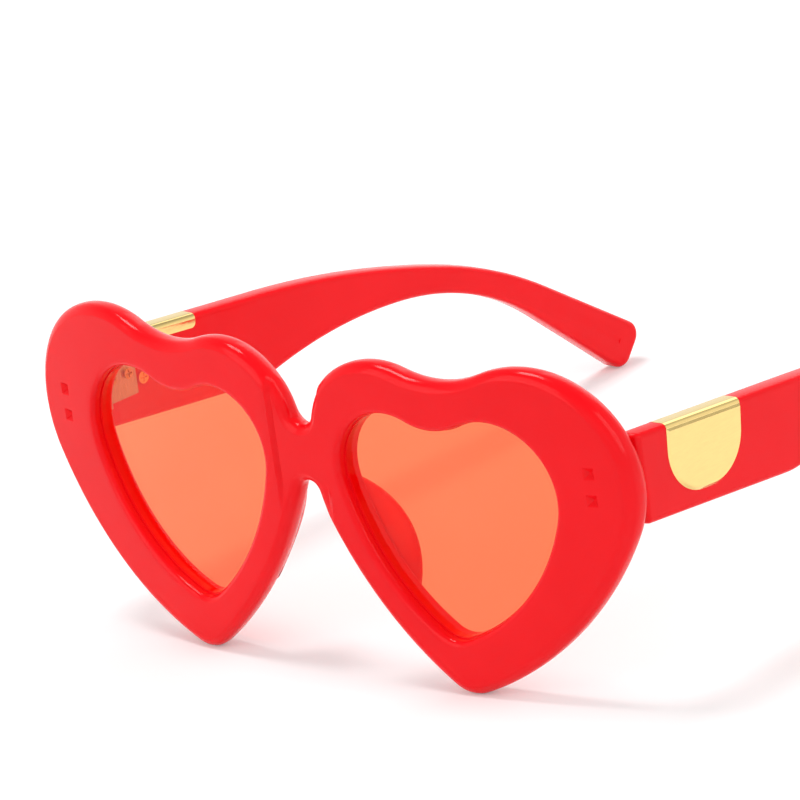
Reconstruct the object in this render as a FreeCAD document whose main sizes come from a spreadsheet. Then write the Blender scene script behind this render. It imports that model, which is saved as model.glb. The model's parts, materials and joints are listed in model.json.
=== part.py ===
"""Heart-shaped sunglasses: a wrapped plastic front, two lenses and two folding temples.

Millimetres and degrees. The front faces -Y, the temples run back along +Y and +Z is up.
Left and right are the wearer's: left is the +X side. The left pieces are modelled and
the right ones are their mirror images. The glasses stand open on the two heart tips and
the two temple tips, with the origin on the floor under the middle of that footprint.
"""
import FreeCAD
import Part
import math
import os
import Sketcher
from FreeCAD import Placement, Rotation, Vector

doc = FreeCAD.newDocument("heart_sunglasses")

# Driving sizes: name, value and what it measures
SIZES = [
    ("wrap_radius", 330.0, "radius of the front's outer face, seen from above"),
    ("front_thickness", 6.0, "front face to back face"),
    ("inner_lobe_x", 19.4, "heart lobe beside the bridge: centre across"),
    ("inner_lobe_z", 45.5, "heart lobe beside the bridge: centre height"),
    ("inner_lobe_radius", 17.2, "heart lobe beside the bridge"),
    ("outer_lobe_x", 53.9, "heart lobe beside the temple: centre across"),
    ("outer_lobe_z", 43.6, "heart lobe beside the temple: centre height"),
    ("outer_lobe_radius", 20.4, "heart lobe beside the temple"),
    ("dip_radius", 26.0, "hollow between the two lobes"),
    ("heart_tip_x", 33.7, "lower tip of the heart: centre across"),
    ("heart_tip_radius", 7.2, "lower tip of the heart, resting on the floor"),
    ("outer_side_radius", 66.0, "side of the heart under the temple"),
    ("inner_side_radius", 80.0, "side of the heart along the nose"),
    ("bridge_dip_radius", 3.0, "round notch on top of the bridge"),
    ("bridge_low", 37.6, "height of the bridge's underside"),
    ("bridge_arch_radius", 2.8, "arch under the bridge"),
    ("front_edge_round", 2.4, "rounding of the outer edge, front"),
    ("back_edge_round", 1.7, "rounding of the outer edge, back"),
    ("round_limit", 0.95, "most of the thickness that the two roundings may take, as a share"),
    ("lens_inner_lobe_x", 21.65, "lens opening, lobe beside the bridge: centre across"),
    ("lens_inner_lobe_z", 41.5, "lens opening, lobe beside the bridge: centre height"),
    ("lens_inner_lobe_radius", 12.05, "lens opening, lobe beside the bridge"),
    ("lens_outer_lobe_x", 44.2, "lens opening, lobe beside the temple: centre across"),
    ("lens_outer_lobe_z", 39.85, "lens opening, lobe beside the temple: centre height"),
    ("lens_outer_lobe_radius", 14.0, "lens opening, lobe beside the temple"),
    ("lens_dip_radius", 13.6, "lens opening, hollow between its lobes"),
    ("lens_tip_x", 32.0, "lens opening, lower tip: centre across"),
    ("lens_tip_z", 16.7, "lens opening, lower tip: centre height"),
    ("lens_tip_radius", 6.3, "lens opening, lower tip"),
    ("lens_outer_side_radius", 38.5, "lens opening, side towards the temple"),
    ("lens_inner_side_radius", 47.8, "lens opening, side towards the nose"),
    ("opening_edge_round", 1.0, "rolled edge of the lens opening"),
    ("lens_depth", 2.5, "front face back to the lens"),
    ("lens_thickness", 1.6, "lens"),
    ("groove_depth", 0.8, "lens groove, outwards from the opening"),
    ("groove_clearance", 0.05, "lens in its groove, each side"),
    ("dimple_inset", 8.2, "pressed dimples, in from the outermost point"),
    ("dimple_pitch", 5.2, "between the two dimples"),
    ("dimple_width", 2.3, "dimple at the surface"),
    ("dimple_floor", 0.3, "dimple at its bottom"),
    ("dimple_depth", 1.1, "dimple"),
    ("pad_length_angle", 27.0, "nose pad's lean from upright"),
    ("pad_x", 12.4, "nose pad's middle: across"),
    ("pad_z", 26.6, "nose pad's middle: height"),
    ("pad_radius", 19.0, "nose pad's curve, seen from the side"),
    ("pad_depth", 6.0, "nose pad's reach behind the front"),
    ("pad_width", 4.6, "nose pad"),
    ("pad_splay", 18.0, "nose pad's turn away from the nose"),
    ("pad_round", 1.6, "nose pad's edges"),
    ("pivot_inset", 9.7, "hinge axis, in from the outermost point"),
    ("pivot_back", 2.9, "hinge axis: behind the front's back face"),
    ("barrel_radius", 1.6, "hinge barrels"),
    ("barrel_height", 2.7, "each hinge barrel"),
    ("barrel_gap", 0.1, "between hinge barrels"),
    ("pivot_screw_radius", 0.7, "hinge screw's shank"),
    ("pivot_clearance", 0.04, "hinge screw in its barrels, radial"),
    ("pivot_head_radius", 1.35, "hinge screw's head"),
    ("pivot_head_height", 0.7, "hinge screw's head"),
    ("leaf_thickness", 1.1, "hinge leaves"),
    ("leaf_height", 9.2, "hinge leaves"),
    ("front_leaf_width", 5.0, "front leaf, from the hinge axis towards the lens"),
    ("leaf_sink", 0.3, "front leaf's seat below the back face at its inner edge"),
    ("leaf_clearance", 0.1, "front leaf in its seat"),
    ("temple_leaf_length", 10.5, "temple leaf, back from the hinge axis"),
    ("leaf_screw_radius", 0.55, "leaf screws' shanks"),
    ("leaf_screw_length", 2.6, "leaf screws' shanks in the plastic"),
    ("leaf_head_radius", 1.05, "leaf screws' heads"),
    ("leaf_head_height", 0.5, "leaf screws' heads"),
    ("leaf_screw_inset", 1.7, "front leaf screws, in from the leaf's edge"),
    ("leaf_screw_pitch", 5.2, "between the screws of the front leaf"),
    ("temple_screw_start", 4.2, "temple leaf's first screw, behind the hinge axis"),
    ("temple_screw_pitch", 4.2, "between the screws of the temple leaf"),
    ("screw_clearance", 0.05, "screws in their holes, radial"),
    ("temple_offset", 3.0, "hinge axis to the temple's inner face"),
    ("temple_thickness", 4.4, "temple"),
    ("temple_height", 17.3, "temple's front bar"),
    ("temple_rise", 0.4, "middle of the front bar above the middle of the hinge"),
    ("temple_slope", 6.2, "front bar's fall towards the back"),
    ("temple_lean", 2.4, "open temple's turn towards the head"),
    ("temple_gap", 0.3, "temple's end to the front's back face"),
    ("temple_root", 6.0, "blank in front of the hinge axis, before it is cut to the front"),
    ("top_straight", 45.1, "straight top edge behind the hinge axis"),
    ("crown_radius", 230.0, "top edge, first curve"),
    ("crown_turn", 12.6, "top edge, first curve"),
    ("bend_radius", 102.0, "top edge, ear bend"),
    ("bend_turn", 15.5, "top edge, ear bend"),
    ("tail_top", 29.8, "top edge, straight tail"),
    ("under_straight", 39.7, "straight lower edge behind the hinge axis"),
    ("flare_radius", 20.0, "lower edge, hollow where the bar narrows"),
    ("flare_turn", 20.0, "lower edge, hollow where the bar narrows"),
    ("belly_radius", 105.0, "lower edge, long curve back to level"),
    ("hook_radius", 63.0, "lower edge, ear bend"),
    ("hook_turn", 36.0, "lower edge, ear bend"),
    ("tail_under", 28.5, "lower edge, straight tail"),
    ("tail_round", 3.0, "corners of the temple's end"),
    ("temple_edge_round", 0.7, "temple's long edges"),
    ("trim_start", 6.0, "metal trim, behind the hinge axis"),
    ("trim_width", 21.0, "metal trim, along the temple"),
    ("trim_drop", 14.2, "metal trim, down the outer face"),
    ("trim_corner", 9.2, "metal trim's lower corners"),
    ("trim_thickness", 0.8, "metal trim's sheet"),
    ("trim_bevel", 0.3, "metal trim's edge"),
    ("trim_tab_drop", 2.6, "metal trim's fold down the inner face"),
    ("trim_tab_corner", 1.0, "corners of the fold on the inner face"),
    ("trim_gap", 0.05, "metal trim to the temple"),
    ("trim_post_radius", 1.5, "post behind the trim, through the temple"),
    ("trim_post_drop", 10.0, "post below the temple's top edge"),
    ("trim_post_inset", 7.0, "post behind the trim's front edge"),
    ("trim_screw_radius", 0.7, "trim screw's shank"),
    ("trim_screw_length", 3.4, "trim screw's shank"),
    ("trim_head_radius", 1.25, "trim screw's head"),
    ("trim_head_height", 0.6, "trim screw's head"),
    ("recess_width", 0.3, "cross recess in the screw heads"),
    ("recess_share", 0.7, "cross recess across the screw heads, as a share"),
    ("recess_depth", 0.3, "cross recess in the screw heads"),
]

sheet = doc.addObject("Spreadsheet::Sheet", "sizes")
for row, (alias, value, meaning) in enumerate(SIZES, start=1):
    sheet.set(f"A{row}", meaning)
    sheet.set(f"B{row}", str(value))
    sheet.setAlias(f"B{row}", alias)
doc.recompute()


def size(alias):
    """The value of a driving size, read from the sheet."""
    return float(sheet.get(alias))


# Directions, sketch vertex numbers and the sketch's own axes
X_AXIS = Vector(1, 0, 0)
Y_AXIS = Vector(0, 1, 0)
Z_AXIS = Vector(0, 0, 1)
FACING_FRONT = Rotation(X_AXIS, 90)
FACING_SIDE = Rotation(Z_AXIS, 90) * Rotation(X_AXIS, 90)
START, FINISH, MIDDLE = range(1, 4)
SKETCH_ORIGIN = (-1, 1)
SKETCH_UPRIGHT = -2


def circles_meet(first, first_radius, second, second_radius):
    """Where two circles cross, on the right of the way from the first centre to the second."""
    span = second - first
    along = (span.Length ** 2 + first_radius ** 2 - second_radius ** 2) / (2 * span.Length)
    across = math.sqrt(first_radius ** 2 - along ** 2)
    unit = Vector(span).normalize()
    return first + unit * along + Vector(unit.y, -unit.x, 0) * across


def facing(centre, other, radius):
    """The point of a circle on the way from its centre to another point."""
    return centre + Vector(other - centre).normalize() * radius


class Outline:
    """A closed sketch of lines and arcs, drawn anticlockwise and held by dimensions from the sheet."""

    def __init__(self, label, placement):
        self.sketch = doc.addObject("Sketcher::SketchObject", label)
        self.sketch.Placement = placement
        self.pieces = []

    def line(self, start, finish):
        """A straight piece; gives its number."""
        number = self.sketch.addGeometry(Part.LineSegment(start, finish), False)
        self.pieces.append((number, START, FINISH))
        return number

    def arc(self, centre, radius, start, finish, hollow=False):
        """An arc that turns left, or right where the outline is hollow; gives its number."""
        ends = (finish, start) if hollow else (start, finish)
        angles = [math.atan2(point.y - centre.y, point.x - centre.x) for point in ends]
        circle = Part.Circle(centre, Z_AXIS, radius)
        number = self.sketch.addGeometry(Part.ArcOfCircle(circle, angles[0], angles[1]), False)
        self.pieces.append((number, FINISH, START) if hollow else (number, START, FINISH))
        return number

    def join(self, corners=()):
        """Joins the pieces end to end, smoothly except after the pieces listed as corners."""
        followers = self.pieces[1:] + self.pieces[:1]
        for (piece, _, finish), (following, start, _) in zip(self.pieces, followers):
            kind = "Coincident" if piece in corners else "Tangent"
            self.rule(kind, piece, finish, following, start)

    def rule(self, *terms):
        """A constraint with no size; gives its number."""
        return self.sketch.addConstraint(Sketcher.Constraint(*terms))

    def dimension(self, formula, *terms):
        """A constraint whose size is a formula on the sheet."""
        number = self.rule(*terms)
        name = "dimension_" + str(number)
        self.sketch.renameConstraint(number, name)
        self.sketch.setExpression("Constraints." + name, formula)

    def radius(self, piece, alias):
        """An arc's radius."""
        self.dimension("sizes." + alias, "Radius", piece, size(alias))

    def centre(self, piece, across, up):
        """An arc's centre, from the sketch's origin."""
        self.dimension("sizes." + across, "DistanceX", *SKETCH_ORIGIN, piece, MIDDLE, size(across))
        self.dimension("sizes." + up, "DistanceY", *SKETCH_ORIGIN, piece, MIDDLE, size(up))

    def turn(self, piece, alias):
        """The angle that an arc spans."""
        self.dimension("sizes." + alias + " * 1 deg", "Angle", piece, math.radians(size(alias)))


def extrusion(label, source, direction, length):
    """A solid swept from a sketch or from its offset; the length is a formula on the sheet."""
    solid = doc.addObject("Part::Extrusion", label)
    solid.Base = source
    solid.DirMode = "Custom"
    solid.Dir = direction
    solid.Solid = True
    solid.setExpression("LengthFwd", length)
    return solid


def offset(label, source, distance):
    """A sketch's outline moved outwards by a formula on the sheet."""
    wider = doc.addObject("Part::Offset2D", label)
    wider.Source = source
    wider.setExpression("Value", distance)
    return wider


def box(label, low, length, width, height):
    """A block at its lowest corner; its sides along X, Y and Z are formulas on the sheet."""
    block = doc.addObject("Part::Box", label)
    block.setExpression("Length", length)
    block.setExpression("Width", width)
    block.setExpression("Height", height)
    block.Placement = Placement(low, Rotation())
    return block


def cylinder(label, base, direction, radius, height):
    """A round bar from the middle of one end; radius and height are formulas on the sheet."""
    bar = doc.addObject("Part::Cylinder", label)
    bar.setExpression("Radius", radius)
    bar.setExpression("Height", height)
    bar.Placement = Placement(base, Rotation(Z_AXIS, direction))
    return bar


def combine(kind, label, base, tool):
    """A Cut, Common or Fuse of two objects."""
    result = doc.addObject("Part::" + kind, label)
    result.Base = base
    result.Tool = tool
    return result


def fused(label, solids):
    """Several solids made one."""
    result = doc.addObject("Part::MultiFuse", label)
    result.Shapes = solids
    result.Refine = True
    return result


def edge_work(kind, label, base, picks):
    """A Fillet or Chamfer of picked edges, each given with its size."""
    numbers = []
    for edge, amount in picks:
        matches = [n for n, other in enumerate(base.Shape.Edges, start=1) if other.isSame(edge)]
        numbers.append((matches[0], amount, amount))
    result = doc.addObject("Part::" + kind, label)
    result.Base = base
    result.Edges = numbers
    return result


def edges_where(shape, test):
    """The edges of a shape whose start, middle and end all pass a test."""
    chosen = []
    for edge in shape.Edges:
        first, last = edge.ParameterRange
        points = [edge.valueAt(first + (last - first) * share) for share in (0.0, 0.5, 1.0)]
        if all(test(point) for point in points):
            chosen.append(edge)
    return chosen


def near(value, target):
    """Whether two lengths agree."""
    return abs(value - target) < 1e-4


nodes = []


def sub_part(item, label, placement):
    """Names a finished piece and puts it in its place; the right one mirrors the left."""
    item.Label = label
    item.Placement = placement
    nodes.append(item)
    if label.endswith("_left"):
        mirrored = doc.addObject("Part::Mirroring", item.Name + "_mirrored")
        mirrored.Source = item
        mirrored.Normal = X_AXIS
        mirrored.Label = label.replace("_left", "_right")
        nodes.append(mirrored)


def screw(label, shank, shank_length, head, head_height):
    """A cross-head screw along +Z with its seat at the origin; sizes are formulas on the sheet."""
    down = Vector(0, 0, -1)
    blank = fused(label + "_blank", [
        cylinder(label + "_shank", Vector(), Z_AXIS, shank, shank_length),
        cylinder(label + "_head", Vector(), down, head, head_height),
    ])
    slots = []
    for turn in (0, 90):
        slot = box(label + f"_slot_{turn}", Vector(), "2 * sizes.recess_share * " + head,
                   "sizes.recess_width", "2 * sizes.recess_depth")
        doc.recompute()
        rotation = Rotation(Z_AXIS, turn)
        middle = Vector(slot.Length.Value / 2, slot.Width.Value / 2, slot.Height.Value / 2)
        top = Vector(0, 0, -doc.getObject(label + "_head").Height.Value)
        slot.Placement = Placement(top - rotation.multVec(middle), rotation)
        slots.append(slot)
    return combine("Cut", label, blank, fused(label + "_cross", slots))


# Temple, in the frame of its front bar: X out of the inner face, Y along the bar, Z up
def walk(point, steps):
    """Follows straight runs and arcs from a point, heading along +X; gives each piece's data."""
    heading = 0.0
    pieces = []
    for step in steps:
        ahead = Vector(math.cos(heading), math.sin(heading), 0)
        if len(step) == 1:
            pieces.append((point, point + ahead * step[0]))
        else:
            radius, turn = step
            side = Vector(-ahead.y, ahead.x, 0) * math.copysign(radius, turn)
            heading += math.radians(turn)
            centre = point + side
            back = Vector(math.sin(heading), -math.cos(heading), 0) * math.copysign(radius, turn)
            pieces.append((point, centre + back, centre, radius))
        point = pieces[-1][1]
    return pieces


half_height = size("temple_height") / 2
root = size("temple_root")
under = walk(Vector(-root, -half_height, 0), [
    (root + size("under_straight"),),
    (size("flare_radius"), size("flare_turn")),
    (size("belly_radius"), -size("flare_turn")),
    (size("hook_radius"), -size("hook_turn")),
    (size("tail_under"),),
])
over = walk(Vector(-root, half_height, 0), [
    (root + size("top_straight"),),
    (size("crown_radius"), -size("crown_turn")),
    (size("bend_radius"), -size("bend_turn")),
    (size("tail_top"),),
])
profile = Outline("temple_profile", Placement(Vector(), FACING_SIDE))
under_line = profile.line(*under[0])
flare = profile.arc(under[1][2], under[1][3], under[1][0], under[1][1])
belly = profile.arc(under[2][2], under[2][3], under[2][0], under[2][1], hollow=True)
hook = profile.arc(under[3][2], under[3][3], under[3][0], under[3][1], hollow=True)
under_tail = profile.line(*under[4])
end_line = profile.line(under[4][1], over[3][1])
top_tail = profile.line(over[3][1], over[3][0])
bend = profile.arc(over[2][2], over[2][3], over[2][1], over[2][0])
crown = profile.arc(over[1][2], over[1][3], over[1][1], over[1][0])
top_line = profile.line(over[0][1], over[0][0])
root_line = profile.line(over[0][0], under[0][0])
profile.join(corners=(under_tail, end_line, top_line, root_line))
profile.rule("Horizontal", under_line)
profile.rule("Horizontal", top_line)
profile.rule("Vertical", root_line)
profile.dimension("sizes.temple_root", "DistanceX", under_line, START, *SKETCH_ORIGIN, root)
profile.dimension("sizes.temple_height / 2", "DistanceY", under_line, START, *SKETCH_ORIGIN, half_height)
profile.dimension("sizes.temple_height", "Distance", root_line, size("temple_height"))
profile.dimension("sizes.temple_root + sizes.under_straight", "Distance", under_line,
                  root + size("under_straight"))
profile.dimension("sizes.temple_root + sizes.top_straight", "Distance", top_line,
                  root + size("top_straight"))
profile.dimension("sizes.tail_under", "Distance", under_tail, size("tail_under"))
profile.dimension("sizes.tail_top", "Distance", top_tail, size("tail_top"))
for piece, bend_size, turn_size in (
    (flare, "flare_radius", "flare_turn"),
    (belly, "belly_radius", "flare_turn"),
    (hook, "hook_radius", "hook_turn"),
    (bend, "bend_radius", "bend_turn"),
    (crown, "crown_radius", "crown_turn"),
):
    profile.radius(piece, bend_size)
    profile.turn(piece, turn_size)
temple_blank = extrusion("temple_blank", profile.sketch, X_AXIS, "sizes.temple_thickness")
doc.recompute()

tips = [Vector(0, point.x, point.y) for point in (under[4][1], over[3][1])]


def at_tip(point):
    """Whether a point of the blank lies on one of the two corner edges of its end."""
    return any(near(point.y, tip.y) and near(point.z, tip.z) for tip in tips)


temple_end = edge_work("Fillet", "temple_end", temple_blank, [
    (edge, size("tail_round")) for edge in edges_where(temple_blank.Shape, at_tip)
])
doc.recompute()
long_edges = [
    edge for edge in temple_end.Shape.Edges
    if near(edge.BoundBox.XLength, 0) and edge.BoundBox.YMax > 0
]
temple_rounded = edge_work("Fillet", "temple_rounded", temple_end, [
    (edge, size("temple_edge_round")) for edge in long_edges
])
doc.recompute()

# Places: the bar on the hinge axis, the hinge axis on the front, and the front over the floor
wrap_radius = size("wrap_radius")
back_radius = wrap_radius - size("front_thickness")
half_width = size("outer_lobe_x") + size("outer_lobe_radius")
pivot_x = half_width - size("pivot_inset")


def surface_y(radius, across):
    """How far back a face of the wrapped front lies at a distance across from the middle."""
    return wrap_radius - math.sqrt(radius ** 2 - across ** 2)


bar_root = Vector(size("temple_offset"), 0, size("temple_rise"))
bar_place = Placement(bar_root, Rotation(X_AXIS, -size("temple_slope")))
lean = Rotation(Z_AXIS, size("temple_lean"))
swung = temple_rounded.Shape.copy()
swung.Placement = Placement(Vector(), lean) * bar_place
extent = swung.optimalBoundingBox()
hinge_z = -extent.ZMin
pivot_y = surface_y(back_radius, pivot_x) + size("pivot_back")
front_place = Placement(Vector(0, -(pivot_y + extent.YMax) / 2, 0), Rotation())
pivot_place = front_place * Placement(Vector(pivot_x, pivot_y, hinge_z), lean)
temple_place = pivot_place * bar_place


def wrap_cylinder(label, radius):
    """A round body under the front's wrap, standing on the front's own axis."""
    floor = Vector(0, wrap_radius, -size("heart_tip_radius"))
    return cylinder(label, floor, Z_AXIS, radius, "sizes.wrap_radius")


def wrap_layer(label, outer, inner):
    """A layer of the wrapped front between two radii, both formulas on the sheet."""
    core = wrap_cylinder(label + "_inner", inner)
    return combine("Cut", label, wrap_cylinder(label + "_outer", outer), core)


# Front outline: one half, from the middle of the bridge round the heart
HALF_WIDTH = "(sizes.outer_lobe_x + sizes.outer_lobe_radius)"
FRONT_DEPTH = HALF_WIDTH + "^2 / sizes.wrap_radius + 3 * sizes.front_thickness"


def heart_outline(label, prefix, tip_names, bridge):
    """A heart of tangent arcs; with a bridge, its nose side opens into half of the bridge."""
    inner_radius = size(prefix + "inner_lobe_radius")
    outer_radius = size(prefix + "outer_lobe_radius")
    dip_radius = size(prefix + "dip_radius")
    outer_side_radius = size(prefix + "outer_side_radius")
    inner_side_radius = size(prefix + "inner_side_radius")
    tip_radius = size(tip_names[2])
    inner = Vector(size(prefix + "inner_lobe_x"), size(prefix + "inner_lobe_z"), 0)
    outer = Vector(size(prefix + "outer_lobe_x"), size(prefix + "outer_lobe_z"), 0)
    tip = Vector(size(tip_names[0]), size(tip_names[1]), 0)
    dip = circles_meet(outer, outer_radius + dip_radius, inner, inner_radius + dip_radius)
    outer_side = circles_meet(outer, outer_side_radius - outer_radius, tip, outer_side_radius - tip_radius)
    if bridge:
        arch_radius = size("bridge_arch_radius")
        notch_radius = size("bridge_dip_radius")
        arch = Vector(0, size("bridge_low") - arch_radius, 0)
        notch = Vector(0, inner.y + math.sqrt((inner_radius + notch_radius) ** 2 - inner.x ** 2), 0)
        inner_side = circles_meet(tip, inner_side_radius - tip_radius,
                                  arch, inner_side_radius + arch_radius)
        lobe_end = facing(inner, notch, inner_radius)
        side_start = facing(arch, inner_side, arch_radius)
    else:
        inner_side = circles_meet(tip, inner_side_radius - tip_radius,
                                  inner, inner_side_radius - inner_radius)
        lobe_end = facing(inner_side, inner, inner_side_radius)
        side_start = lobe_end
    tip_start = facing(inner_side, tip, inner_side_radius)
    tip_end = facing(outer_side, tip, outer_side_radius)
    lobe_start = facing(outer_side, outer, outer_side_radius)
    dip_start = facing(outer, dip, outer_radius)
    dip_end = facing(inner, dip, inner_radius)

    shape = Outline(label, Placement(Vector(), FACING_FRONT))
    tip_arc = shape.arc(tip, tip_radius, tip_start, tip_end)
    outer_side_arc = shape.arc(outer_side, outer_side_radius, tip_end, lobe_start)
    outer_arc = shape.arc(outer, outer_radius, lobe_start, dip_start)
    dip_arc = shape.arc(dip, dip_radius, dip_start, dip_end, hollow=True)
    inner_arc = shape.arc(inner, inner_radius, dip_end, lobe_end)
    corners = ()
    if bridge:
        notch_low = Vector(0, notch.y - notch_radius, 0)
        arch_top = Vector(0, size("bridge_low"), 0)
        notch_arc = shape.arc(notch, notch_radius, lobe_end, notch_low, hollow=True)
        middle_line = shape.line(notch_low, arch_top)
        arch_arc = shape.arc(arch, arch_radius, arch_top, side_start, hollow=True)
        corners = (notch_arc, middle_line)
    inner_side_arc = shape.arc(inner_side, inner_side_radius, side_start, tip_start)
    shape.join(corners)
    for piece, name in ((inner_arc, "inner_lobe"), (outer_arc, "outer_lobe")):
        shape.radius(piece, prefix + name + "_radius")
        shape.centre(piece, prefix + name + "_x", prefix + name + "_z")
    shape.centre(tip_arc, tip_names[0], tip_names[1])
    shape.radius(tip_arc, tip_names[2])
    shape.radius(dip_arc, prefix + "dip_radius")
    shape.radius(outer_side_arc, prefix + "outer_side_radius")
    shape.radius(inner_side_arc, prefix + "inner_side_radius")
    if bridge:
        shape.radius(notch_arc, "bridge_dip_radius")
        shape.radius(arch_arc, "bridge_arch_radius")
        on_middle = ((notch_arc, MIDDLE), (arch_arc, MIDDLE), (middle_line, START), (middle_line, FINISH))
        for piece, vertex in on_middle:
            shape.rule("PointOnObject", piece, vertex, SKETCH_UPRIGHT)
        shape.dimension("sizes.bridge_low", "DistanceY", *SKETCH_ORIGIN, middle_line, FINISH,
                        size("bridge_low"))
    return shape.sketch


HEART_TIP = ("heart_tip_x", "heart_tip_radius", "heart_tip_radius")
LENS_TIP = ("lens_tip_x", "lens_tip_z", "lens_tip_radius")
front_sketch = heart_outline("front_outline", "", HEART_TIP, True)
opening_sketch = heart_outline("opening_outline", "lens_", LENS_TIP, False)
front_wrap = wrap_layer("front_wrap", "sizes.wrap_radius", "sizes.wrap_radius - sizes.front_thickness")
front_blank = combine("Common", "front_blank",
                      extrusion("front_block", front_sketch, Y_AXIS, FRONT_DEPTH), front_wrap)
front_open = combine("Cut", "front_open", front_blank,
                     extrusion("opening_block", opening_sketch, Y_AXIS, FRONT_DEPTH))
doc.recompute()


def rims(shape, radius):
    """The outer and the opening edges of the face at a radius of the wrap, without the cut middle."""
    for face in shape.Faces:
        if isinstance(face.Surface, Part.Cylinder) and near(face.Surface.Radius, radius):
            outer = [edge for edge in face.OuterWire.Edges if not near(edge.BoundBox.XMax, 0)]
            holes = [wire for wire in face.Wires if not wire.isSame(face.OuterWire)]
            return outer, [edge for wire in holes for edge in wire.Edges]
    raise ValueError("the front has no face at this radius")


front_outer, front_opening = rims(front_open.Shape, wrap_radius)
back_outer = rims(front_open.Shape, back_radius)[0]
both_rounds = size("front_edge_round") + size("back_edge_round")
round_share = min(1.0, size("round_limit") * size("front_thickness") / both_rounds)
front_rounded = edge_work("Fillet", "front_rounded", front_open,
                          [(edge, size("front_edge_round") * round_share) for edge in front_outer]
                          + [(edge, size("opening_edge_round")) for edge in front_opening]
                          + [(edge, size("back_edge_round") * round_share) for edge in back_outer])

# Lens and its groove
lens_layer = wrap_layer("lens_layer", "sizes.wrap_radius - sizes.lens_depth",
                        "sizes.wrap_radius - sizes.lens_depth - sizes.lens_thickness")
groove_layer = wrap_layer(
    "groove_layer", "sizes.wrap_radius - sizes.lens_depth + sizes.groove_clearance",
    "sizes.wrap_radius - sizes.lens_depth - sizes.lens_thickness - sizes.groove_clearance")
lens_edge = offset("lens_edge", opening_sketch, "sizes.groove_depth - sizes.groove_clearance")
groove_edge = offset("groove_edge", opening_sketch, "sizes.groove_depth")
lens_block = extrusion("lens_block", lens_edge, Y_AXIS, FRONT_DEPTH)
groove_block = extrusion("groove_block", groove_edge, Y_AXIS, FRONT_DEPTH)
lens = combine("Common", "lens", lens_block, lens_layer)
groove = combine("Common", "groove", groove_block, groove_layer)
sub_part(lens, "lens_left", front_place)

# Pressed dimples in the front face, level with the hinge
dimple_x = half_width - size("dimple_inset")
dimples = []
for level in (-0.5, 0.5):
    dimple = doc.addObject("Part::Wedge", "dimple")
    for side, sign in (("min", "-"), ("max", "")):
        dimple.setExpression("X" + side, sign + "(sizes.dimple_width - sizes.dimple_floor / 2)")
        dimple.setExpression("Z" + side, sign + "(sizes.dimple_width - sizes.dimple_floor / 2)")
        dimple.setExpression("X2" + side, sign + "sizes.dimple_floor / 2")
        dimple.setExpression("Z2" + side, sign + "sizes.dimple_floor / 2")
        dimple.setExpression("Y" + side, sign + "sizes.dimple_depth")
    dimple_z = hinge_z + level * size("dimple_pitch")
    inward = Rotation(Z_AXIS, math.degrees(math.asin(dimple_x / wrap_radius)))
    dimple.Placement = Placement(Vector(dimple_x, surface_y(wrap_radius, dimple_x), dimple_z), inward)
    dimples.append(dimple)

# Hinge front leaf: a plate sunk in the back of the front, with two barrels
leaf_x = pivot_x - size("front_leaf_width")
seat_y = surface_y(back_radius, leaf_x) - size("leaf_sink")
leaf_low = hinge_z - size("leaf_height") / 2
barrel_step = size("barrel_height") + size("barrel_gap")
barrel_lows = [hinge_z - size("barrel_height") / 2 + level * barrel_step for level in (-1, 1)]
stack_low = barrel_lows[0]
STACK_HEIGHT = "3 * sizes.barrel_height + 2 * sizes.barrel_gap"
LEAF_WIDTH = "sizes.front_leaf_width + sizes.barrel_radius"
BACK_RADIUS = "(sizes.wrap_radius - sizes.front_thickness)"
PIVOT_X = f"({HALF_WIDTH} - sizes.pivot_inset)"
WEB_DEPTH = (
    f"sqrt({BACK_RADIUS}^2 - ({PIVOT_X} - sizes.front_leaf_width)^2)"
    f" - sqrt({BACK_RADIUS}^2 - {PIVOT_X}^2) + sizes.pivot_back + sizes.leaf_sink"
)
clearance = size("leaf_clearance")
seat = box("leaf_seat", Vector(leaf_x - clearance, seat_y, leaf_low - clearance),
           LEAF_WIDTH + " + 2 * sizes.leaf_clearance", "3 * sizes.front_thickness",
           "sizes.leaf_height + 2 * sizes.leaf_clearance")
knuckles = [box("front_plate", Vector(leaf_x, seat_y, leaf_low), LEAF_WIDTH, "sizes.leaf_thickness",
                "sizes.leaf_height")]
for low in barrel_lows:
    web = box("front_web", Vector(pivot_x - size("barrel_radius"), seat_y, low),
              "2 * sizes.barrel_radius", WEB_DEPTH, "sizes.barrel_height")
    barrel = cylinder("front_barrel", Vector(pivot_x, pivot_y, low), Z_AXIS,
                      "sizes.barrel_radius", "sizes.barrel_height")
    knuckles += [web, barrel]
PIVOT_BORE = "sizes.pivot_screw_radius + sizes.pivot_clearance"
stack_base = Vector(pivot_x, pivot_y, stack_low)
front_bore = cylinder("front_bore", stack_base, Z_AXIS, PIVOT_BORE, STACK_HEIGHT)
SCREW_HOLE = "sizes.leaf_screw_radius + sizes.screw_clearance"
screw_seats = [
    Vector(leaf_x + size("leaf_screw_inset"), seat_y + size("leaf_thickness"),
           hinge_z + level * size("leaf_screw_pitch"))
    for level in (-0.5, 0.5)
]
LEAF_SHANK = "sizes.leaf_thickness + sizes.leaf_screw_length"
front_holes = [
    cylinder("front_screw_hole", place, -Y_AXIS, SCREW_HOLE, LEAF_SHANK + " + sizes.screw_clearance")
    for place in screw_seats
]
front_leaf = combine("Cut", "front_leaf", fused("front_leaf_blank", knuckles),
                     fused("front_leaf_holes", [front_bore] + front_holes))
sub_part(front_leaf, "hinge_front_leaf_left", front_place)
for place, level in zip(screw_seats, ("lower", "upper")):
    leaf_screw = screw("front_leaf_screw_" + level, "sizes.leaf_screw_radius", LEAF_SHANK,
                       "sizes.leaf_head_radius", "sizes.leaf_head_height")
    sub_part(leaf_screw, f"front_leaf_screw_{level}_left",
             front_place * Placement(place, Rotation(Z_AXIS, -Y_AXIS)))

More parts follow.
